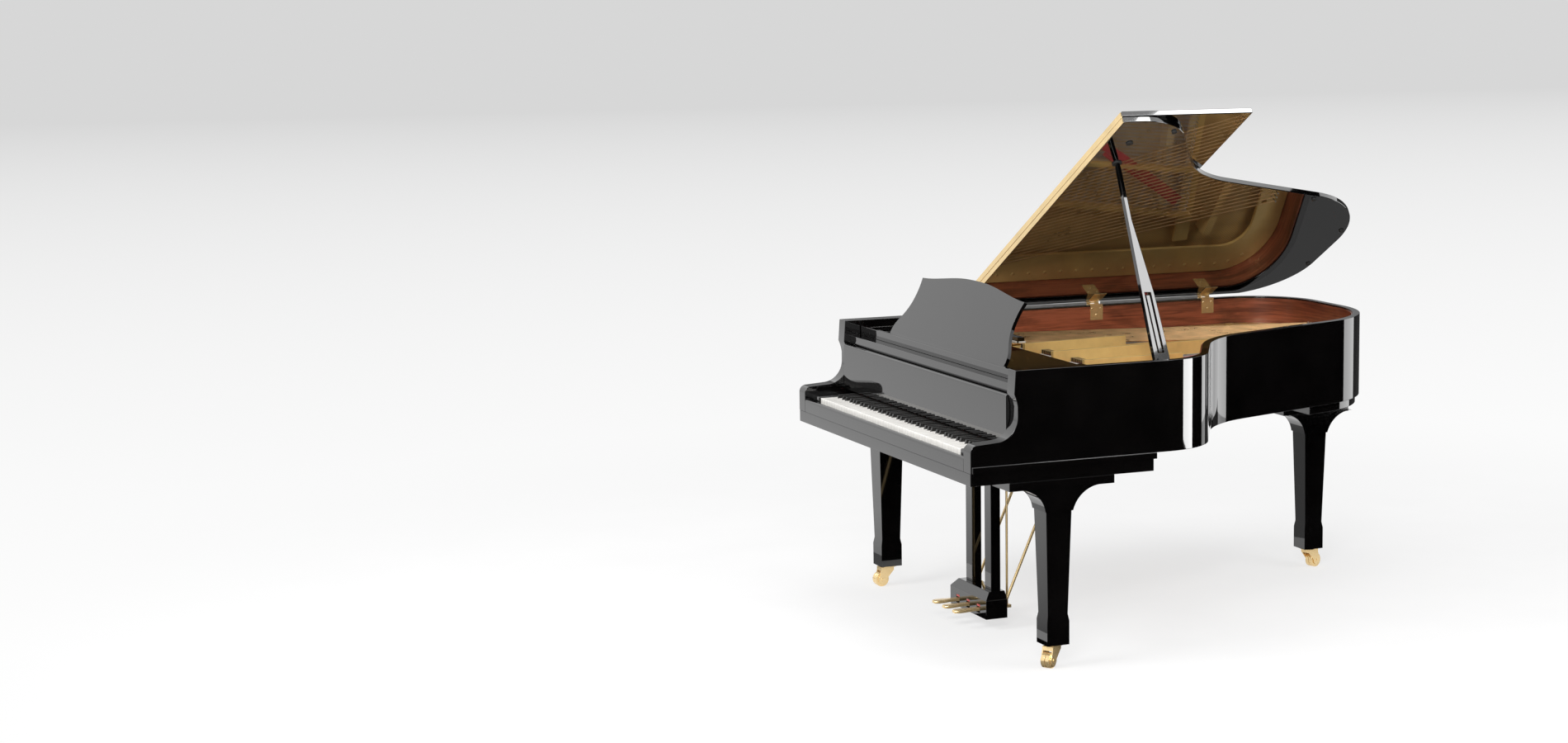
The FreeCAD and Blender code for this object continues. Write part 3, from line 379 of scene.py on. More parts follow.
def shaded(colour, factor):
    return tuple(min(1.0, channel * factor) for channel in colour)


def lacquer_material(name, ior, coat):
    material, tree, shader = start_material(name)
    colour = tuple(colours().lacquer)
    depth = cloud(tree, placed(tree), scale=7.0, detail=5.0)
    tone = toned(tree, depth, [(0.3, shaded(colour, 0.7)), (0.7, shaded(colour, 1.4))])
    tree.links.new(tone, shader.inputs["Base Color"])
    handling = cloud(tree, placed(tree), scale=45.0, detail=8.0, roughness=0.65)
    tree.links.new(ranged(tree, handling, low=0.02, high=0.06), shader.inputs["Roughness"])
    raised(tree, shader, cloud(tree, placed(tree), scale=160.0, detail=2.0), strength=0.015, distance=0.0004)
    shader.inputs["IOR"].default_value = ior
    shader.inputs["Coat Weight"].default_value = coat
    shader.inputs["Coat Roughness"].default_value = 0.015
    shader.inputs["Coat IOR"].default_value = 1.6
    return material


def mahogany_material():
    material, tree, shader = start_material("mahogany_veneer")
    colour = tuple(colours().mahogany)
    grain = cloud(tree, placed(tree, (2.2, 2.2, 46.0)),
                  scale=3.0, detail=8.0, roughness=0.62, distortion=0.5)
    figure = cloud(tree, placed(tree, (1.3, 1.3, 4.0)),
                   scale=2.4, detail=3.0, roughness=0.5, distortion=1.4)
    value = added(tree, grain, figure, share=0.7)
    tone = toned(tree, value, [(0.52, shaded(colour, 0.42)), (0.82, colour), (1.1, shaded(colour, 1.7))])
    tree.links.new(tone, shader.inputs["Base Color"])
    tree.links.new(ranged(tree, grain, low=0.22, high=0.4), shader.inputs["Roughness"])
    pores = cloud(tree, placed(tree, (8.0, 8.0, 420.0)), scale=4.0, detail=2.0)
    raised(tree, shader, pores, strength=0.06, distance=0.0005)
    shader.inputs["Coat Weight"].default_value = 0.35
    shader.inputs["Coat Roughness"].default_value = 0.08
    return material


def spruce_material():
    material, tree, shader = start_material("spruce_board")
    colour = tuple(colours().spruce)
    slope = (0.0, 0.0, math.radians(-38.0))
    rings = bands(tree, placed(tree, turn=slope), scale=46.0, distortion=2.2, detail=3.0)
    plank = cloud(tree, placed(tree, (9.0, 0.8, 1.0), slope),
                  scale=1.6, detail=4.0, roughness=0.5, distortion=0.4)
    value = added(tree, plank, rings, share=0.3)
    tone = toned(tree, value, [(0.3, shaded(colour, 0.62)), (0.6, colour), (0.95, shaded(colour, 1.3))])
    tree.links.new(tone, shader.inputs["Base Color"])
    tree.links.new(ranged(tree, plank, low=0.25, high=0.42), shader.inputs["Roughness"])
    raised(tree, shader, rings, strength=0.04, distance=0.0004)
    shader.inputs["Coat Weight"].default_value = 0.3
    return material


def beech_material():
    material, tree, shader = start_material("beech_wood")
    colour = tuple(colours().beech)
    grain = cloud(tree, placed(tree, (6.0, 60.0, 60.0)),
                  scale=1.6, detail=7.0, roughness=0.6, distortion=0.3)
    flecks = cloud(tree, placed(tree, (40.0, 260.0, 260.0)), scale=1.0, detail=2.0)
    value = added(tree, grain, flecks, share=0.35)
    tone = toned(tree, value, [(0.4, shaded(colour, 0.6)), (0.68, colour), (0.95, shaded(colour, 1.25))])
    tree.links.new(tone, shader.inputs["Base Color"])
    tree.links.new(ranged(tree, grain, low=0.4, high=0.6), shader.inputs["Roughness"])
    raised(tree, shader, flecks, strength=0.05, distance=0.0004)
    return material


def gold_material():
    material, tree, shader = start_material("bronze_gold_iron")
    colour = tuple(colours().gold)
    spray = cloud(tree, placed(tree), scale=6.0, detail=6.0, roughness=0.6)
    tone = toned(tree, spray, [(0.3, shaded(colour, 0.8)), (0.55, colour), (0.8, shaded(colour, 1.18))])
    tree.links.new(tone, shader.inputs["Base Color"])
    sand = cloud(tree, placed(tree), scale=420.0, detail=3.0, roughness=0.6)
    tree.links.new(ranged(tree, spray, low=0.3, high=0.46), shader.inputs["Roughness"])
    raised(tree, shader, sand, strength=0.12, distance=0.0006)
    shader.inputs["Metallic"].default_value = 0.4
    shader.inputs["Coat Weight"].default_value = 0.25
    return material


def brass_material():
    material, tree, shader = start_material("polished_brass")
    colour = tuple(colours().brass)
    tarnish = cloud(tree, placed(tree), scale=9.0, detail=3.0, roughness=0.5)
    tone = toned(tree, tarnish, [(0.3, shaded(colour, 0.9)), (0.5, colour), (0.75, shaded(colour, 1.08))])
    tree.links.new(tone, shader.inputs["Base Color"])
    lines = cloud(tree, placed(tree, (30.0, 30.0, 900.0)), scale=1.0, detail=3.0)
    tree.links.new(ranged(tree, tarnish, low=0.16, high=0.26), shader.inputs["Roughness"])
    raised(tree, shader, lines, strength=0.03, distance=0.0003)
    shader.inputs["Metallic"].default_value = 0.72
    return material


def wire_material(name, colour, winding):
    material, tree, shader = start_material(name)
    age = cloud(tree, placed(tree), scale=14.0, detail=4.0)
    tone = toned(tree, age, [(0.3, shaded(colour, 0.75)), (0.7, shaded(colour, 1.15))])
    tree.links.new(tone, shader.inputs["Base Color"])
    tree.links.new(ranged(tree, age, low=0.22, high=0.38), shader.inputs["Roughness"])
    turns = bands(tree, placed(tree, (0.0, 1.0, 0.0)), winding, distortion=0.0, detail=0.0)
    raised(tree, shader, turns, strength=0.3, distance=0.0003)
    shader.inputs["Metallic"].default_value = 1.0
    return material


def natural_key_material():
    material, tree, shader = start_material("natural_key_cover")
    colour = tuple(colours().ivory)
    warmth = cloud(tree, placed(tree, (40.0, 6.0, 6.0)), scale=1.0, detail=3.0)
    tone = toned(tree, warmth, [(0.3, shaded(colour, 0.94)), (0.7, shaded(colour, 1.04))])
    tree.links.new(tone, shader.inputs["Base Color"])
    touch = cloud(tree, placed(tree), scale=120.0, detail=5.0)
    tree.links.new(ranged(tree, touch, low=0.12, high=0.24), shader.inputs["Roughness"])
    raised(tree, shader, touch, strength=0.01, distance=0.0003)
    shader.inputs["Coat Weight"].default_value = 0.25
    return material


def sharp_key_material():
    material, tree, shader = start_material("sharp_key_cover")
    grain = cloud(tree, placed(tree, (160.0, 12.0, 160.0)), scale=1.2, detail=5.0, roughness=0.6)
    tone = toned(tree, grain, [(0.3, (0.006, 0.006, 0.006)), (0.75, (0.02, 0.019, 0.018))])
    tree.links.new(tone, shader.inputs["Base Color"])
    tree.links.new(ranged(tree, grain, low=0.2, high=0.36), shader.inputs["Roughness"])
    raised(tree, shader, grain, strength=0.06, distance=0.0003)
    return material


def felt_material(name, colour):
    material, tree, shader = start_material(name)
    fibre = cloud(tree, placed(tree), scale=900.0, detail=6.0, roughness=0.75, distortion=0.6)
    press = cloud(tree, placed(tree), scale=30.0, detail=4.0)
    value = added(tree, fibre, press, share=0.5)
    tone = toned(tree, value, [(0.45, shaded(colour, 0.62)), (0.75, colour), (1.0, shaded(colour, 1.35))])
    tree.links.new(tone, shader.inputs["Base Color"])
    tree.links.new(ranged(tree, press, low=0.85, high=1.0), shader.inputs["Roughness"])
    raised(tree, shader, fibre, strength=0.5, distance=0.0008)
    shader.inputs["Sheen Weight"].default_value = 0.35
    shader.inputs["Sheen Roughness"].default_value = 0.5
    return material


def rubber_material():
    material, tree, shader = start_material("black_rubber")
    skin = cloud(tree, placed(tree), scale=300.0, detail=4.0)
    tone = toned(tree, skin, [(0.3, (0.012, 0.012, 0.012)), (0.7, (0.03, 0.03, 0.03))])
    tree.links.new(tone, shader.inputs["Base Color"])
    tree.links.new(ranged(tree, skin, low=0.55, high=0.75), shader.inputs["Roughness"])
    raised(tree, shader, skin, strength=0.15, distance=0.0004)
    return material


def finish(name):
    made = bpy.data.materials.get("piano_" + name)
    if made:
        return made
    makers = {
        "black_lacquer": lambda: lacquer_material("black_lacquer", ior=1.55, coat=0.4),
        "lid_lacquer": lambda: lacquer_material("lid_lacquer", ior=2.2, coat=1.0),
        "mahogany": mahogany_material,
        "spruce": spruce_material,
        "plain_wood": beech_material,
        "gold_iron": gold_material,
        "brass": brass_material,
        "steel": lambda: wire_material("steel_wire", (0.56, 0.55, 0.53), winding=120.0),
        "copper_wire": lambda: wire_material("copper_winding", (0.80, 0.50, 0.24), winding=190.0),
        "key_white": natural_key_material,
        "key_black": sharp_key_material,
        "black_rubber": rubber_material,
        "red_felt": lambda: felt_material("red_felt", tuple(colours().felt)),
        "white_felt": lambda: felt_material("white_felt", (0.62, 0.59, 0.53)),
        "grey_felt": lambda: felt_material("grey_felt", (0.24, 0.24, 0.235)),
    }
    material = makers[name]()
    material.name = "piano_" + name
    return material


# Shapes

def put_in_scene(name, data):
    piece = bpy.data.objects.new(name, data)
    bpy.context.scene.collection.objects.link(piece)
    return piece


def mesh_of(name, shape):
    mesh = bpy.data.meshes.new(name)
    shape.to_mesh(mesh)
    shape.free()
    return mesh


def shade_smooth(mesh):
    for face in mesh.polygons:
        face.use_smooth = True
    mesh.set_sharp_from_angle(angle=sharp_angle)


def turned_to(line, axis="Z"):
    # the turn that points an axis along a line
    return Vector(line).to_track_quat(axis, "Y").to_matrix().to_4x4()


def place_piece(name, shape, material, body, smooth=True):
    mesh = mesh_of(name, shape)
    mesh.materials.append(finish(material))
    if smooth:
        shade_smooth(mesh)
    piece = put_in_scene(name, mesh)
    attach(piece, body)


def add_block(shape, low, high, edge=0.0):
    middle = (Vector(low) + Vector(high)) / 2.0
    size = Vector(high) - Vector(low)
    matrix = Matrix.Translation(middle) @ Matrix.Diagonal((size.x, size.y, size.z, 1.0))
    made = bmesh.ops.create_cube(shape, size=1.0, matrix=matrix)
    if edge > 0.0:
        edges = {side for vert in made["verts"] for side in vert.link_edges}
        bmesh.ops.bevel(shape, geom=list(edges), offset=edge, segments=2, profile=0.5, affect="EDGES",
                        material=-1)


def add_rod(shape, start, end, radius, segments):
    start = Vector(start)
    line = Vector(end) - start
    matrix = Matrix.Translation(start + line / 2.0) @ turned_to(line)
    bmesh.ops.create_cone(shape, cap_ends=True, segments=segments, radius1=radius, radius2=radius,
                          depth=line.length, matrix=matrix)


def add_ring(shape, centre, low, high, inner, outer):
    corners = []
    for radius, z in ((inner, low), (outer, low), (outer, high), (inner, high)):
        corners.append(shape.verts.new((centre.x + radius, centre.y, z)))
    edges = [shape.edges.new((corners[index - 1], corners[index])) for index in range(4)]
    bmesh.ops.spin(shape, geom=corners + edges, cent=(centre.x, centre.y, 0.0), axis=(0.0, 0.0, 1.0),
                   angle=2.0 * math.pi, steps=24, use_merge=True)
    bmesh.ops.recalc_face_normals(shape, faces=list(shape.faces))


def add_dome(shape, centre, radius, height, facing):
    # a low domed head that stands on a surface and looks along facing
    flat = Matrix.Diagonal((1.0, 1.0, height / radius, 1.0))
    matrix = Matrix.Translation(centre) @ turned_to(facing) @ flat
    bmesh.ops.create_uvsphere(shape, u_segments=12, v_segments=6, radius=radius, matrix=matrix)


def add_ribbon(shape, points, width, low, high):
    # a flat strip that follows a line of (x, y) points
    line = [Vector((x, y, low)) for x, y in points]
    edge = None
    for index, point in enumerate(line):
        before = line[max(index - 1, 0)]
        after = line[min(index + 1, len(line) - 1)]
        heading = (after - before).normalized()
        across = Vector((-heading.y, heading.x, 0.0))
        side = across * (width / 2.0)
        if edge is None:
            left = shape.verts.new(point + side)
            right = shape.verts.new(point - side)
            edge = shape.edges.new((left, right))
            continue
        made = bmesh.ops.extrude_edge_only(shape, edges=[edge])["geom"]
        new_verts = [item for item in made if isinstance(item, bmesh.types.BMVert)]
        edge = next(item for item in made if isinstance(item, bmesh.types.BMEdge) and
                    item.verts[0] in new_verts and item.verts[1] in new_verts)
        first_left = (new_verts[0].co - before).dot(across) > 0.0
        new_verts[0].co = point + side if first_left else point - side
        new_verts[1].co = point - side if first_left else point + side
    strip = list(shape.faces)
    made = bmesh.ops.extrude_face_region(shape, geom=strip)["geom"]
    top = [item for item in made if isinstance(item, bmesh.types.BMVert)]
    bmesh.ops.translate(shape, verts=top, vec=(0.0, 0.0, high - low))
    bmesh.ops.recalc_face_normals(shape, faces=list(shape.faces))


def node_shape(node):
    # the node's own form, with its seams closed
    shape = bmesh.new()
    shape.from_mesh(nodes[node].data)
    bmesh.ops.remove_doubles(shape, verts=list(shape.verts), dist=seam_width)
    return shape


def softened_copy(node, material, width):
    # the node's own form with rounded edges, in place of the node
    shape = node_shape(node)
    bmesh.ops.dissolve_limit(shape, angle_limit=flat_angle, verts=list(shape.verts), edges=list(shape.edges))
    mesh = mesh_of(node + "_finished", shape)
    kept = mesh.attributes.get("custom_normal")
    if kept:
        mesh.attributes.remove(kept)
    mesh.materials.clear()
    mesh.materials.append(finish(material))
    for face in mesh.polygons:
        face.material_index = 0
    shade_smooth(mesh)
    piece = put_in_scene(node + "_finished", mesh)
    rounding = piece.modifiers.new("rounding", "BEVEL")
    rounding.width = width
    rounding.segments = 2
    rounding.limit_method = "ANGLE"
    rounding.angle_limit = sharp_angle
    rounding.harden_normals = True
    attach(piece, body_of_node[node])
    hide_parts(node)


def string_ends(node):
    # front and back end of each wire of a node, from the wire's own solid
    shape = node_shape(node)
    left = set(shape.verts)
    ends = []
    while left:
        wire = {left.pop()}
        waiting = list(wire)
        while waiting:
            for edge in waiting.pop().link_edges:
                for vert in edge.verts:
                    if vert in left:
                        left.discard(vert)
                        wire.add(vert)
                        waiting.append(vert)
        middle = sum(vert.co.y for vert in wire) / len(wire)
        front = [vert.co for vert in wire if vert.co.y < middle]
        back = [vert.co for vert in wire if vert.co.y >= middle]
        ends.append((sum(front, Vector()) / len(front), sum(back, Vector()) / len(back)))
    shape.free()
    return sorted(ends, key=lambda pair: pair[0].x)


def hinge_spans():
    # where each of the two lid hinges begins and ends along the case
    low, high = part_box("rim_hinge_leaves")
    width = high.y - low.y - hinge_spacing
    return (low.y, low.y + width), (high.y - width, high.y)


def plate_height():
    # the tuning pins stand on the frame's top face
    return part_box("tuning_pins")[0].z


# Operators

class PIANO_OT_finish_solids(bpy.types.Operator):
    """Give every solid of the piano its finish"""

    bl_idname = "piano.finish_solids"
    bl_label = "Finish solids"

    def execute(self, context):
        for name, node in nodes.items():
            node.data.materials.clear()
            node.data.materials.append(finish(slot_of_node[name]))
        return {"FINISHED"}


class PIANO_OT_lacquered_case(bpy.types.Operator):
    """Round the edges of the lacquered case, lid, legs, lyre and dampers"""

    bl_idname = "piano.lacquered_case"
    bl_label = "Lacquered case"

    def execute(self, context):
        edge = sizes().case_edge
        for node in ("outer_rim", "keybed", "key_blocks", "key_slip", "crosspiece", "music_shelf",
                     "music_desk", "fallboard", "lid_prop", "short_prop", "legs", "leg_plates",
                     "lyre_frame", "pedal_box"):
            softened_copy(node, "black_lacquer", edge)
        for node in ("lid", "lid_flap"):
            softened_copy(node, "lid_lacquer", edge * lid_edge_share)
        softened_copy("dampers", "black_lacquer", edge * damper_edge_share)
        return {"FINISHED"}


class PIANO_OT_keys(bpy.types.Operator):
    """Round the edges of the key covers"""

    bl_idname = "piano.keys"
    bl_label = "Keys"

    def execute(self, context):
        for node in sorted(nodes):
            if node.startswith("keys_"):
                softened_copy(node, slot_of_node[node], sizes().key_edge)
        return {"FINISHED"}


class PIANO_OT_metalwork(bpy.types.Operator):
    """Round the edges of the iron frame, the pedals and the casters"""

    bl_idname = "piano.metalwork"
    bl_label = "Metalwork"

    def execute(self, context):
        edge = sizes().metal_edge
        softened_copy("iron_frame", "gold_iron", edge * frame_edge_share)
        for node in sorted(nodes):
            if node.startswith(("pedal_left", "pedal_middle", "pedal_right", "caster_fork", "caster_wheels")):
                softened_copy(node, "brass", edge)
        return {"FINISHED"}


class PIANO_OT_strings(bpy.types.Operator):
    """Add the second and third string of each note, with their tuning pins"""

    bl_idname = "piano.strings"
    bl_label = "Strings"

    def execute(self, context):
        wires = bmesh.new()
        pins = bmesh.new()
        pin_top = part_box("tuning_pins")[1].z - pin_drop
        pin_foot = plate_height()
        for front, back in string_ends("plain_strings"):
            along = (back - front).normalized()
            side = Vector((along.y, -along.x, 0.0)) * sizes().wire_pitch
            for sign in (-1.0, 1.0):
                start = front + side * sign + along * (pin_stagger * sign)
                end = back + side * sign
                add_rod(wires, start, end, sizes().wire_radius, segments=6)
                foot = start - along * pin_setback
                add_rod(pins, (foot.x, foot.y, pin_foot), (foot.x, foot.y, pin_top), pin_radius, segments=8)
        place_piece("unison_strings", wires, "steel", "case")
        place_piece("unison_pins", pins, "steel", "case")
        return {"FINISHED"}


class PIANO_OT_felts(bpy.types.Operator):
    """Add the felts behind the keys, under the lid's edge, on the strings and under the dampers"""

    bl_idname = "piano.felts"
    bl_label = "Felts"

    def execute(self, context):
        self.lay_key_strip()
        self.lay_lid_rest()
        self.lay_cloths()
        self.press_damper_felts()
        return {"FINISHED"}

    def lay_key_strip(self):
        strip = bmesh.new()
        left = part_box("keys_a")[0].x
        keys_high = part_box("keys_c")[1]
        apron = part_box("crosspiece")[0]
        front = apron.y + key_felt_setback
        add_block(strip, (left, front, keys_high.z + key_felt_clearance),
                  (keys_high.x, front + key_felt_width, apron.z), key_felt_edge)
        place_piece("key_strip_felt", strip, "red_felt", "case")

    def lay_lid_rest(self):
        # the lid's hinged edge lies on this strip, which stops beside each hinge
        near_hinge, far_hinge = hinge_spans()
        runs = (
            (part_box("lid")[0].y + lid_rest_start, near_hinge[0] - hinge_clearance),
            (near_hinge[1] + hinge_clearance, far_hinge[0] - hinge_clearance),
        )
        rim_low, rim_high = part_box("outer_rim")
        left = rim_low.x + lid_rest_inset
        right = left + lid_rest_width
        lid_rest = bmesh.new()
        for front, back in runs:
            add_block(lid_rest, (left, front, rim_high.z), (right, back, rim_high.z + lid_rest_height),
                      lid_rest_edge)
        place_piece("lid_rest_felt", lid_rest, "grey_felt", "case")

    def lay_cloths(self):
        string_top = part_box("plain_strings")[1].z + cloth_lift
        for name, (points, width) in cloth_lines.items():
            cloth = bmesh.new()
            add_ribbon(cloth, points, width, string_top, string_top + cloth_thickness)
            place_piece(name, cloth, "red_felt", "case", smooth=False)

        pin_felt = bmesh.new()
        ends = [(pin_felt_reach, pin_felt_y), (-pin_felt_reach, pin_felt_y)]
        add_ribbon(pin_felt, ends, pin_felt_width, plate_height(), plate_height() + pin_felt_height)
        place_piece("pin_side_felt", pin_felt, "red_felt", "case", smooth=False)

    def press_damper_felts(self):
        # one pad on each face under a damper that is big enough to be its foot
        pads = bmesh.new()
        shape = node_shape("dampers")
        for face in shape.faces:
            if face.normal.z < -0.9 and face.calc_area() > damper_foot_area:
                middle = face.calc_center_median()
                add_block(pads, middle - Vector((pad_half_width, pad_half_length, pad_below)),
                          middle + Vector((pad_half_width, pad_half_length, pad_above)))
        shape.free()
        place_piece("damper_felts", pads, "white_felt", "dampers")


class PIANO_OT_frame_fittings(bpy.types.Operator):
    """Add the bolts, sound hole stars and string rests of the iron frame"""

    bl_idname = "piano.frame_fittings"
    bl_label = "Frame fittings"

    def execute(self, context):
        self.add_bolts()
        self.add_stars()
        self.add_string_rests()
        return {"FINISHED"}

    def add_bolts(self):
        bolts = bmesh.new()
        shape = bmesh.new()
        shape.from_mesh(nodes["iron_frame"].data)
        plate = BVHTree.FromBMesh(shape)
        shape.free()
        plate_top = plate_height()
        for step in range(bolt_rows):
            # both edges of the frame at every distance along the case, found from outside
            y = bolt_start + bolt_pitch * step
            for side in (-1.0, 1.0):
                outside = (2.0 * side, y, plate_top - frame_edge_drop)
                edge, normal = plate.ray_cast(outside, (-side, 0.0, 0.0))[:2]
                if edge is None:
                    raise RuntimeError("the iron frame has no edge beside a bolt")
                inward = Vector((normal.x, normal.y, 0.0)).normalized() * -bolt_inset
                add_dome(bolts, (edge.x + inward.x, edge.y + inward.y, plate_top), sizes().bolt_radius,
                         bolt_height, (0.0, 0.0, 1.0))
        place_piece("frame_bolts", bolts, "gold_iron", "case")

    def add_stars(self):
        stars = bmesh.new()
        for x, y in star_places:
            middle = Vector((x, y, plate_height() - star_drop))
            add_rod(stars, middle - Vector((0.0, 0.0, hub_below)), middle + Vector((0.0, 0.0, hub_above)),
                    hub_radius, segments=16)
            for turn in range(star_arms):
                angle = 2.0 * math.pi * turn / star_arms
                reach = Vector((math.cos(angle), math.sin(angle), 0.0)) * star_reach
                add_rod(stars, middle, middle + reach, star_arm_radius, segments=8)
        place_piece("sound_hole_stars", stars, "gold_iron", "case")

    def add_string_rests(self):
        rests = bmesh.new()
        for node in ("plain_strings", "wound_strings"):
            for front, back in string_ends(node):
                along = (back - front).normalized()
                spot = front + along * ((rest_y - front.y) / along.y)
                add_block(rests, spot - Vector((rest_half_width, rest_half_length, rest_below)),
                          spot + Vector((rest_half_width, rest_half_length, rest_above)))
        place_piece("string_rests", rests, "brass", "case", smooth=False)


class PIANO_OT_hinge_screws(bpy.types.Operator):
    """Add the screw heads of the lid hinges"""

    bl_idname = "piano.hinge_screws"
    bl_label = "Hinge screws"

    def execute(self, context):
        leaf_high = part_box("rim_hinge_leaves")[1]
        screws = bmesh.new()
        for front, back in hinge_spans():
            y = (front + back) / 2.0
            for across, drop in ((-screw_spread, high_screw), (screw_spread, high_screw), (0.0, low_screw)):
                add_dome(screws, (leaf_high.x, y + across, leaf_high.z - drop), screw_radius, screw_height,
                         (1.0, 0.0, 0.0))
        place_piece("hinge_screws", screws, "brass", "case")
        return {"FINISHED"}


class PIANO_OT_lyre_fittings(bpy.types.Operator):
    """Add the red felts in the pedal slots and the collars of the rods"""

    bl_idname = "piano.lyre_fittings"
    bl_label = "Lyre fittings"

    def execute(self, context):
        box_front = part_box("pedal_box")[0].y
        bed_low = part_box("keybed")[0].z
        felts = bmesh.new()
        collars = bmesh.new()
        for side in ("left", "middle", "right"):
            pedal_low, pedal_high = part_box("pedal_" + side)
            middle = (pedal_low.x + pedal_high.x) / 2.0
            low = (middle - slot_half_width, box_front + slot_front, pedal_high.z + slot_clearance)
            high = (middle + slot_half_width, box_front + slot_back, slot_top)
            add_block(felts, low, high, slot_felt_edge)
            rod_low, rod_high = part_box("pedal_rod_" + side)
            centre = (rod_low + rod_high) / 2.0
            bore = (rod_high.x - rod_low.x) / 2.0 + bore_clearance
            add_ring(collars, centre, bed_low - flange_depth, bed_low, bore, flange_radius)
            add_ring(collars, centre, bed_low - sleeve_depth, bed_low - flange_depth - ring_gap, bore,
                     sleeve_radius)
        place_piece("slot_felts", felts, "red_felt", "case")
        place_piece("rod_collars", collars, "brass", "case")
        return {"FINISHED"}


class PIANO_OT_stage(bpy.types.Operator):
    """Set up the floor, the soft light and the camera"""

    bl_idname = "piano.stage"
    bl_label = "Stage"

    def execute(self, context):
        settings = context.scene.piano_stage
        self.set_world(settings)
        self.lay_floor(settings)
        self.hang_lights(settings)
        # painted reflections: glowing cards that only the lacquer's reflections see
        self.paint_reflections_with_cards()
        self.set_camera(settings)
        context.scene.view_settings.view_transform = "Standard"
        return {"FINISHED"}

    def seen_directly(self, tree):
        # 1 for rays from the camera, mirror reflections and glass, 0 for the light on surfaces
        path = tree.nodes.new("ShaderNodeLightPath")
        first = tree.nodes.new("ShaderNodeMath")
        first.operation = "MAXIMUM"
        second = tree.nodes.new("ShaderNodeMath")
        second.operation = "MAXIMUM"
        tree.links.new(path.outputs["Is Camera Ray"], first.inputs[0])
        tree.links.new(path.outputs["Is Glossy Ray"], first.inputs[1])
        tree.links.new(first.outputs["Value"], second.inputs[0])
        tree.links.new(path.outputs["Is Transmission Ray"], second.inputs[1])
        return second.outputs["Value"]

    def set_world(self, settings):
        world = bpy.data.worlds.new("studio")
        bpy.context.scene.world = world
        world.use_nodes = True
        tree = world.node_tree
        background = tree.nodes["Background"]
        background.inputs["Color"].default_value = (1.0, 1.0, 1.0, 1.0)
        strength = ranged(tree, self.seen_directly(tree), settings.fill, settings.near_paper)
        tree.links.new(strength, background.inputs["Strength"])

    def lay_floor(self, settings):
        shape = bmesh.new()
        bmesh.ops.create_circle(shape, cap_ends=True, segments=96, radius=floor_radius)
        mesh = mesh_of("floor", shape)
        floor = put_in_scene("floor", mesh)
        material, tree, shader = start_material("pale_floor")
        mesh.materials.append(material)
        grain = cloud(tree, placed(tree), scale=3.0, detail=5.0)
        tone = toned(tree, grain, [(0.3, (0.80, 0.80, 0.80)), (0.7, (0.84, 0.84, 0.84))])
        tree.links.new(tone, shader.inputs["Base Color"])
        shader.inputs["Roughness"].default_value = 0.6
        shader.inputs["Specular IOR Level"].default_value = 0.0
        paper = tree.nodes.new("ShaderNodeEmission")
        paper.inputs["Color"].default_value = (1.0, 1.0, 1.0, 1.0)
        bright = graded(tree, far_paper_x, near_paper_x, settings.far_paper, settings.near_paper)
        tree.links.new(bright, paper.inputs["Strength"])
        place = tree.nodes.new("ShaderNodeTexCoord")
        far = tree.nodes.new("ShaderNodeVectorMath")
        far.operation = "LENGTH"
        tree.links.new(place.outputs["Object"], far.inputs[0])
        fade = tree.nodes.new("ShaderNodeMapRange")
        fade.interpolation_type = "SMOOTHSTEP"
        fade.inputs["From Min"].default_value = shade_start
        fade.inputs["From Max"].default_value = shade_end
        fade.inputs["To Min"].default_value = 1.0 - settings.shade_share
        tree.links.new(far.outputs["Value"], fade.inputs["Value"])
        share = tree.nodes.new("ShaderNodeMath")
        share.operation = "MULTIPLY"
        tree.links.new(fade.outputs["Result"], share.inputs[0])
        tree.links.new(self.seen_directly(tree), share.inputs[1])
        mix = tree.nodes.new("ShaderNodeMixShader")
        tree.links.new(share.outputs["Value"], mix.inputs["Fac"])
        tree.links.new(shader.outputs["BSDF"], mix.inputs[1])
        tree.links.new(paper.outputs["Emission"], mix.inputs[2])
        tree.links.new(mix.outputs["Shader"], tree.nodes["Material Output"].inputs["Surface"])

    def hang_lights(self, settings):
        # each with its place, the point it looks at, its width and height, and its power
        lights = {
            "key_light": ((5.2, -3.4, 3.6), (0.0, 0.0, 0.9), 2.2, 1.6, settings.key_watts),
            "top_light": ((0.4, -0.6, 5.2), (0.0, 0.0, 0.9), 3.0, 3.0, settings.top_watts),
            "front_light": ((0.5, -5.5, 4.0), (0.0, -0.8, 0.7), 2.5, 1.5, settings.front_watts),
            "edge_light": ((2.9, 2.3, 4.6), (0.4, 0.1, 1.4), 2.6, 0.5, settings.edge_watts),
        }
        for name, (place, target, width, height, watts) in lights.items():
            data = bpy.data.lights.new(name, "AREA")
            data.shape = "RECTANGLE"
            data.size = width
            data.size_y = height
            data.energy = watts
            lamp = put_in_scene(name, data)
            line = Vector(target) - Vector(place)
            lamp.matrix_world = Matrix.Translation(place) @ turned_to(line, "-Z")
            lamp.visible_camera = False
            lamp.visible_glossy = name == "key_light"

    def paint_reflections_with_cards(self):
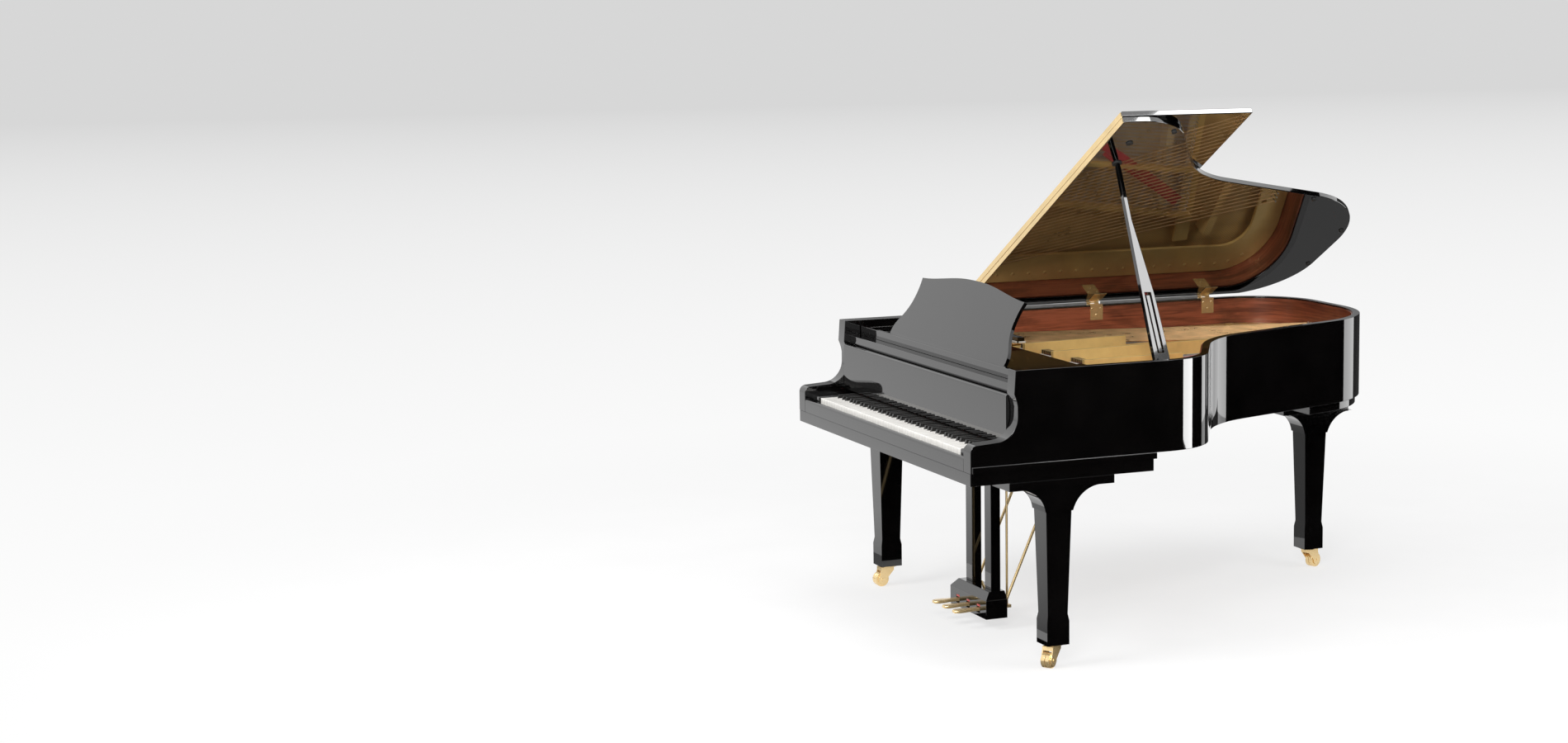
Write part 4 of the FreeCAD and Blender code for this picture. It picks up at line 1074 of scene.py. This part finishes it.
        # cards that only reflections see, painted reflections that glow though they are no lamps: dark ones
        # paint dark reflections around the case, white ones paint highlights on its bends and its prop
        # each with its place, the way it faces, its width and height, and its glow at low and at high X
        cards = {
            "black_card_treble": ((4.0, 0.6, 1.3), (-1.0, 0.0, 0.0), 4.4, 2.6, 0.0, 0.0),
            "black_card_back": ((2.05, 2.8, 1.3), (0.0, -1.0, 0.0), 3.9, 2.6, 0.0, 0.0),
            "black_card_under": ((1.95, 0.95, 0.004), (0.0, 0.0, 1.0), 4.1, 3.7, 0.0, 0.0),
            "dark_card_tail": ((-1.4, 2.3, 0.02), (0.0, 0.0, 1.0), 2.4, 2.2, 0.1, 0.1),
            "dark_card_edge": ((-1.53, 2.62, 0.9), (0.0, -1.0, 0.0), 1.84, 1.8, 0.05, 0.05),
            "grey_card_tail": ((-2.65, -0.2, 0.003), (0.0, 0.0, 1.0), 3.5, 1.6, 0.25, 0.25),
            "grey_card_front": ((-0.9, -1.45, 0.003), (0.0, 0.0, 1.0), 3.0, 0.9, 0.98, 0.2),
            "grey_card_far": ((-3.2, 1.3, 1.5), (0.9, -0.43, 0.0), 5.0, 0.9, 0.25, 0.25),
            "white_strip_bend": ((2.21, 2.6, 0.38), (0.0, -1.0, 0.0), 1.3, 0.5, 10.5, 10.5),
            "white_strip_tail": ((-0.26, 2.6, 0.56), (0.0, -1.0, 0.0), 0.78, 0.5, 1.9, 2.4),
            "white_strip_hollow": ((-4.3, 2.6, 0.4), (0.0, -1.0, 0.0), 3.2, 0.8, 1.8, 1.8),
            "white_card_prop": ((1.93, 1.085, 3.405), (-0.49, -0.46, -0.74), 1.0, 0.62, 8.5, 8.5),
        }
        for name, (place, facing, width, height, low_glow, high_glow) in cards.items():
            shape = bmesh.new()
            size = Matrix.Diagonal((width / 2.0, height / 2.0, 1.0, 1.0))
            matrix = Matrix.Translation(place) @ turned_to(facing) @ size
            bmesh.ops.create_grid(shape, x_segments=1, y_segments=1, size=1.0, matrix=matrix)
            mesh = mesh_of(name, shape)
            card = put_in_scene(name, mesh)
            card.visible_camera = False
            card.visible_diffuse = False
            card.visible_shadow = False
            card.visible_transmission = False
            material = bpy.data.materials.new(name)
            material.use_nodes = True
            tree = material.node_tree
            glow = tree.nodes.new("ShaderNodeEmission")
            bright = graded(tree, place[0] - width / 2.0, place[0] + width / 2.0, low_glow, high_glow)
            tree.links.new(bright, glow.inputs["Strength"])
            tree.links.new(glow.outputs["Emission"], tree.nodes["Material Output"].inputs["Surface"])
            mesh.materials.append(material)

    def set_camera(self, settings):
        data = bpy.data.cameras.new("photo_camera")
        data.sensor_fit = "HORIZONTAL"
        data.sensor_width = sensor_width
        data.lens = settings.lens
        data.shift_x = settings.shift_x
        data.clip_end = sight
        camera = put_in_scene("photo_camera", data)
        forward = Vector((-math.sin(settings.heading), math.cos(settings.heading), 0.0))
        right = Vector((math.cos(settings.heading), math.sin(settings.heading), 0.0))
        up = Vector((0.0, 0.0, 1.0))
        look = forward * math.cos(settings.pitch) + up * math.sin(settings.pitch)
        rise = up * math.cos(settings.pitch) - forward * math.sin(settings.pitch)
        side = right * math.cos(settings.roll) - rise * math.sin(settings.roll)
        head = right * math.sin(settings.roll) + rise * math.cos(settings.roll)
        turn = Matrix((side, head, -look)).transposed().to_4x4()
        camera.matrix_world = Matrix.Translation(settings.eye) @ turn
        bpy.context.scene.camera = camera


class PIANO_PT_panel(bpy.types.Panel):
    """Lists the steps that finish the piano"""

    bl_idname = "PIANO_PT_panel"
    bl_label = "Grand piano"
    bl_space_type = "VIEW_3D"
    bl_region_type = "UI"
    bl_category = "Piano"

    def draw(self, context):
        for operator in operators:
            self.layout.operator(operator.bl_idname)
        for group in ("piano_colours", "piano_sizes", "piano_stage"):
            settings = getattr(context.scene, group)
            for name in settings.bl_rna.properties.keys():
                if name not in {"rna_type", "name"}:
                    self.layout.prop(settings, name)


groups = {"piano_colours": PianoColours, "piano_sizes": PianoSizes, "piano_stage": PianoStage}
operators = (
    PIANO_OT_finish_solids,
    PIANO_OT_lacquered_case,
    PIANO_OT_keys,
    PIANO_OT_metalwork,
    PIANO_OT_strings,
    PIANO_OT_felts,
    PIANO_OT_frame_fittings,
    PIANO_OT_hinge_screws,
    PIANO_OT_lyre_fittings,
    PIANO_OT_stage,
)


def register():
    for kind in (*groups.values(), *operators, PIANO_PT_panel):
        bpy.utils.register_class(kind)
    for name, kind in groups.items():
        setattr(bpy.types.Scene, name, bpy.props.PointerProperty(type=kind))


def unregister():
    for name in groups:
        delattr(bpy.types.Scene, name)
    for kind in reversed((*groups.values(), *operators, PIANO_PT_panel)):
        bpy.utils.unregister_class(kind)


def main():
    register()
    bpy.ops.piano.finish_solids()
    bpy.ops.piano.lacquered_case()
    bpy.ops.piano.keys()
    bpy.ops.piano.metalwork()
    bpy.ops.piano.strings()
    bpy.ops.piano.felts()
    bpy.ops.piano.frame_fittings()
    bpy.ops.piano.hinge_screws()
    bpy.ops.piano.lyre_fittings()
    bpy.ops.piano.stage()


if __name__ == "__main__":
    main()
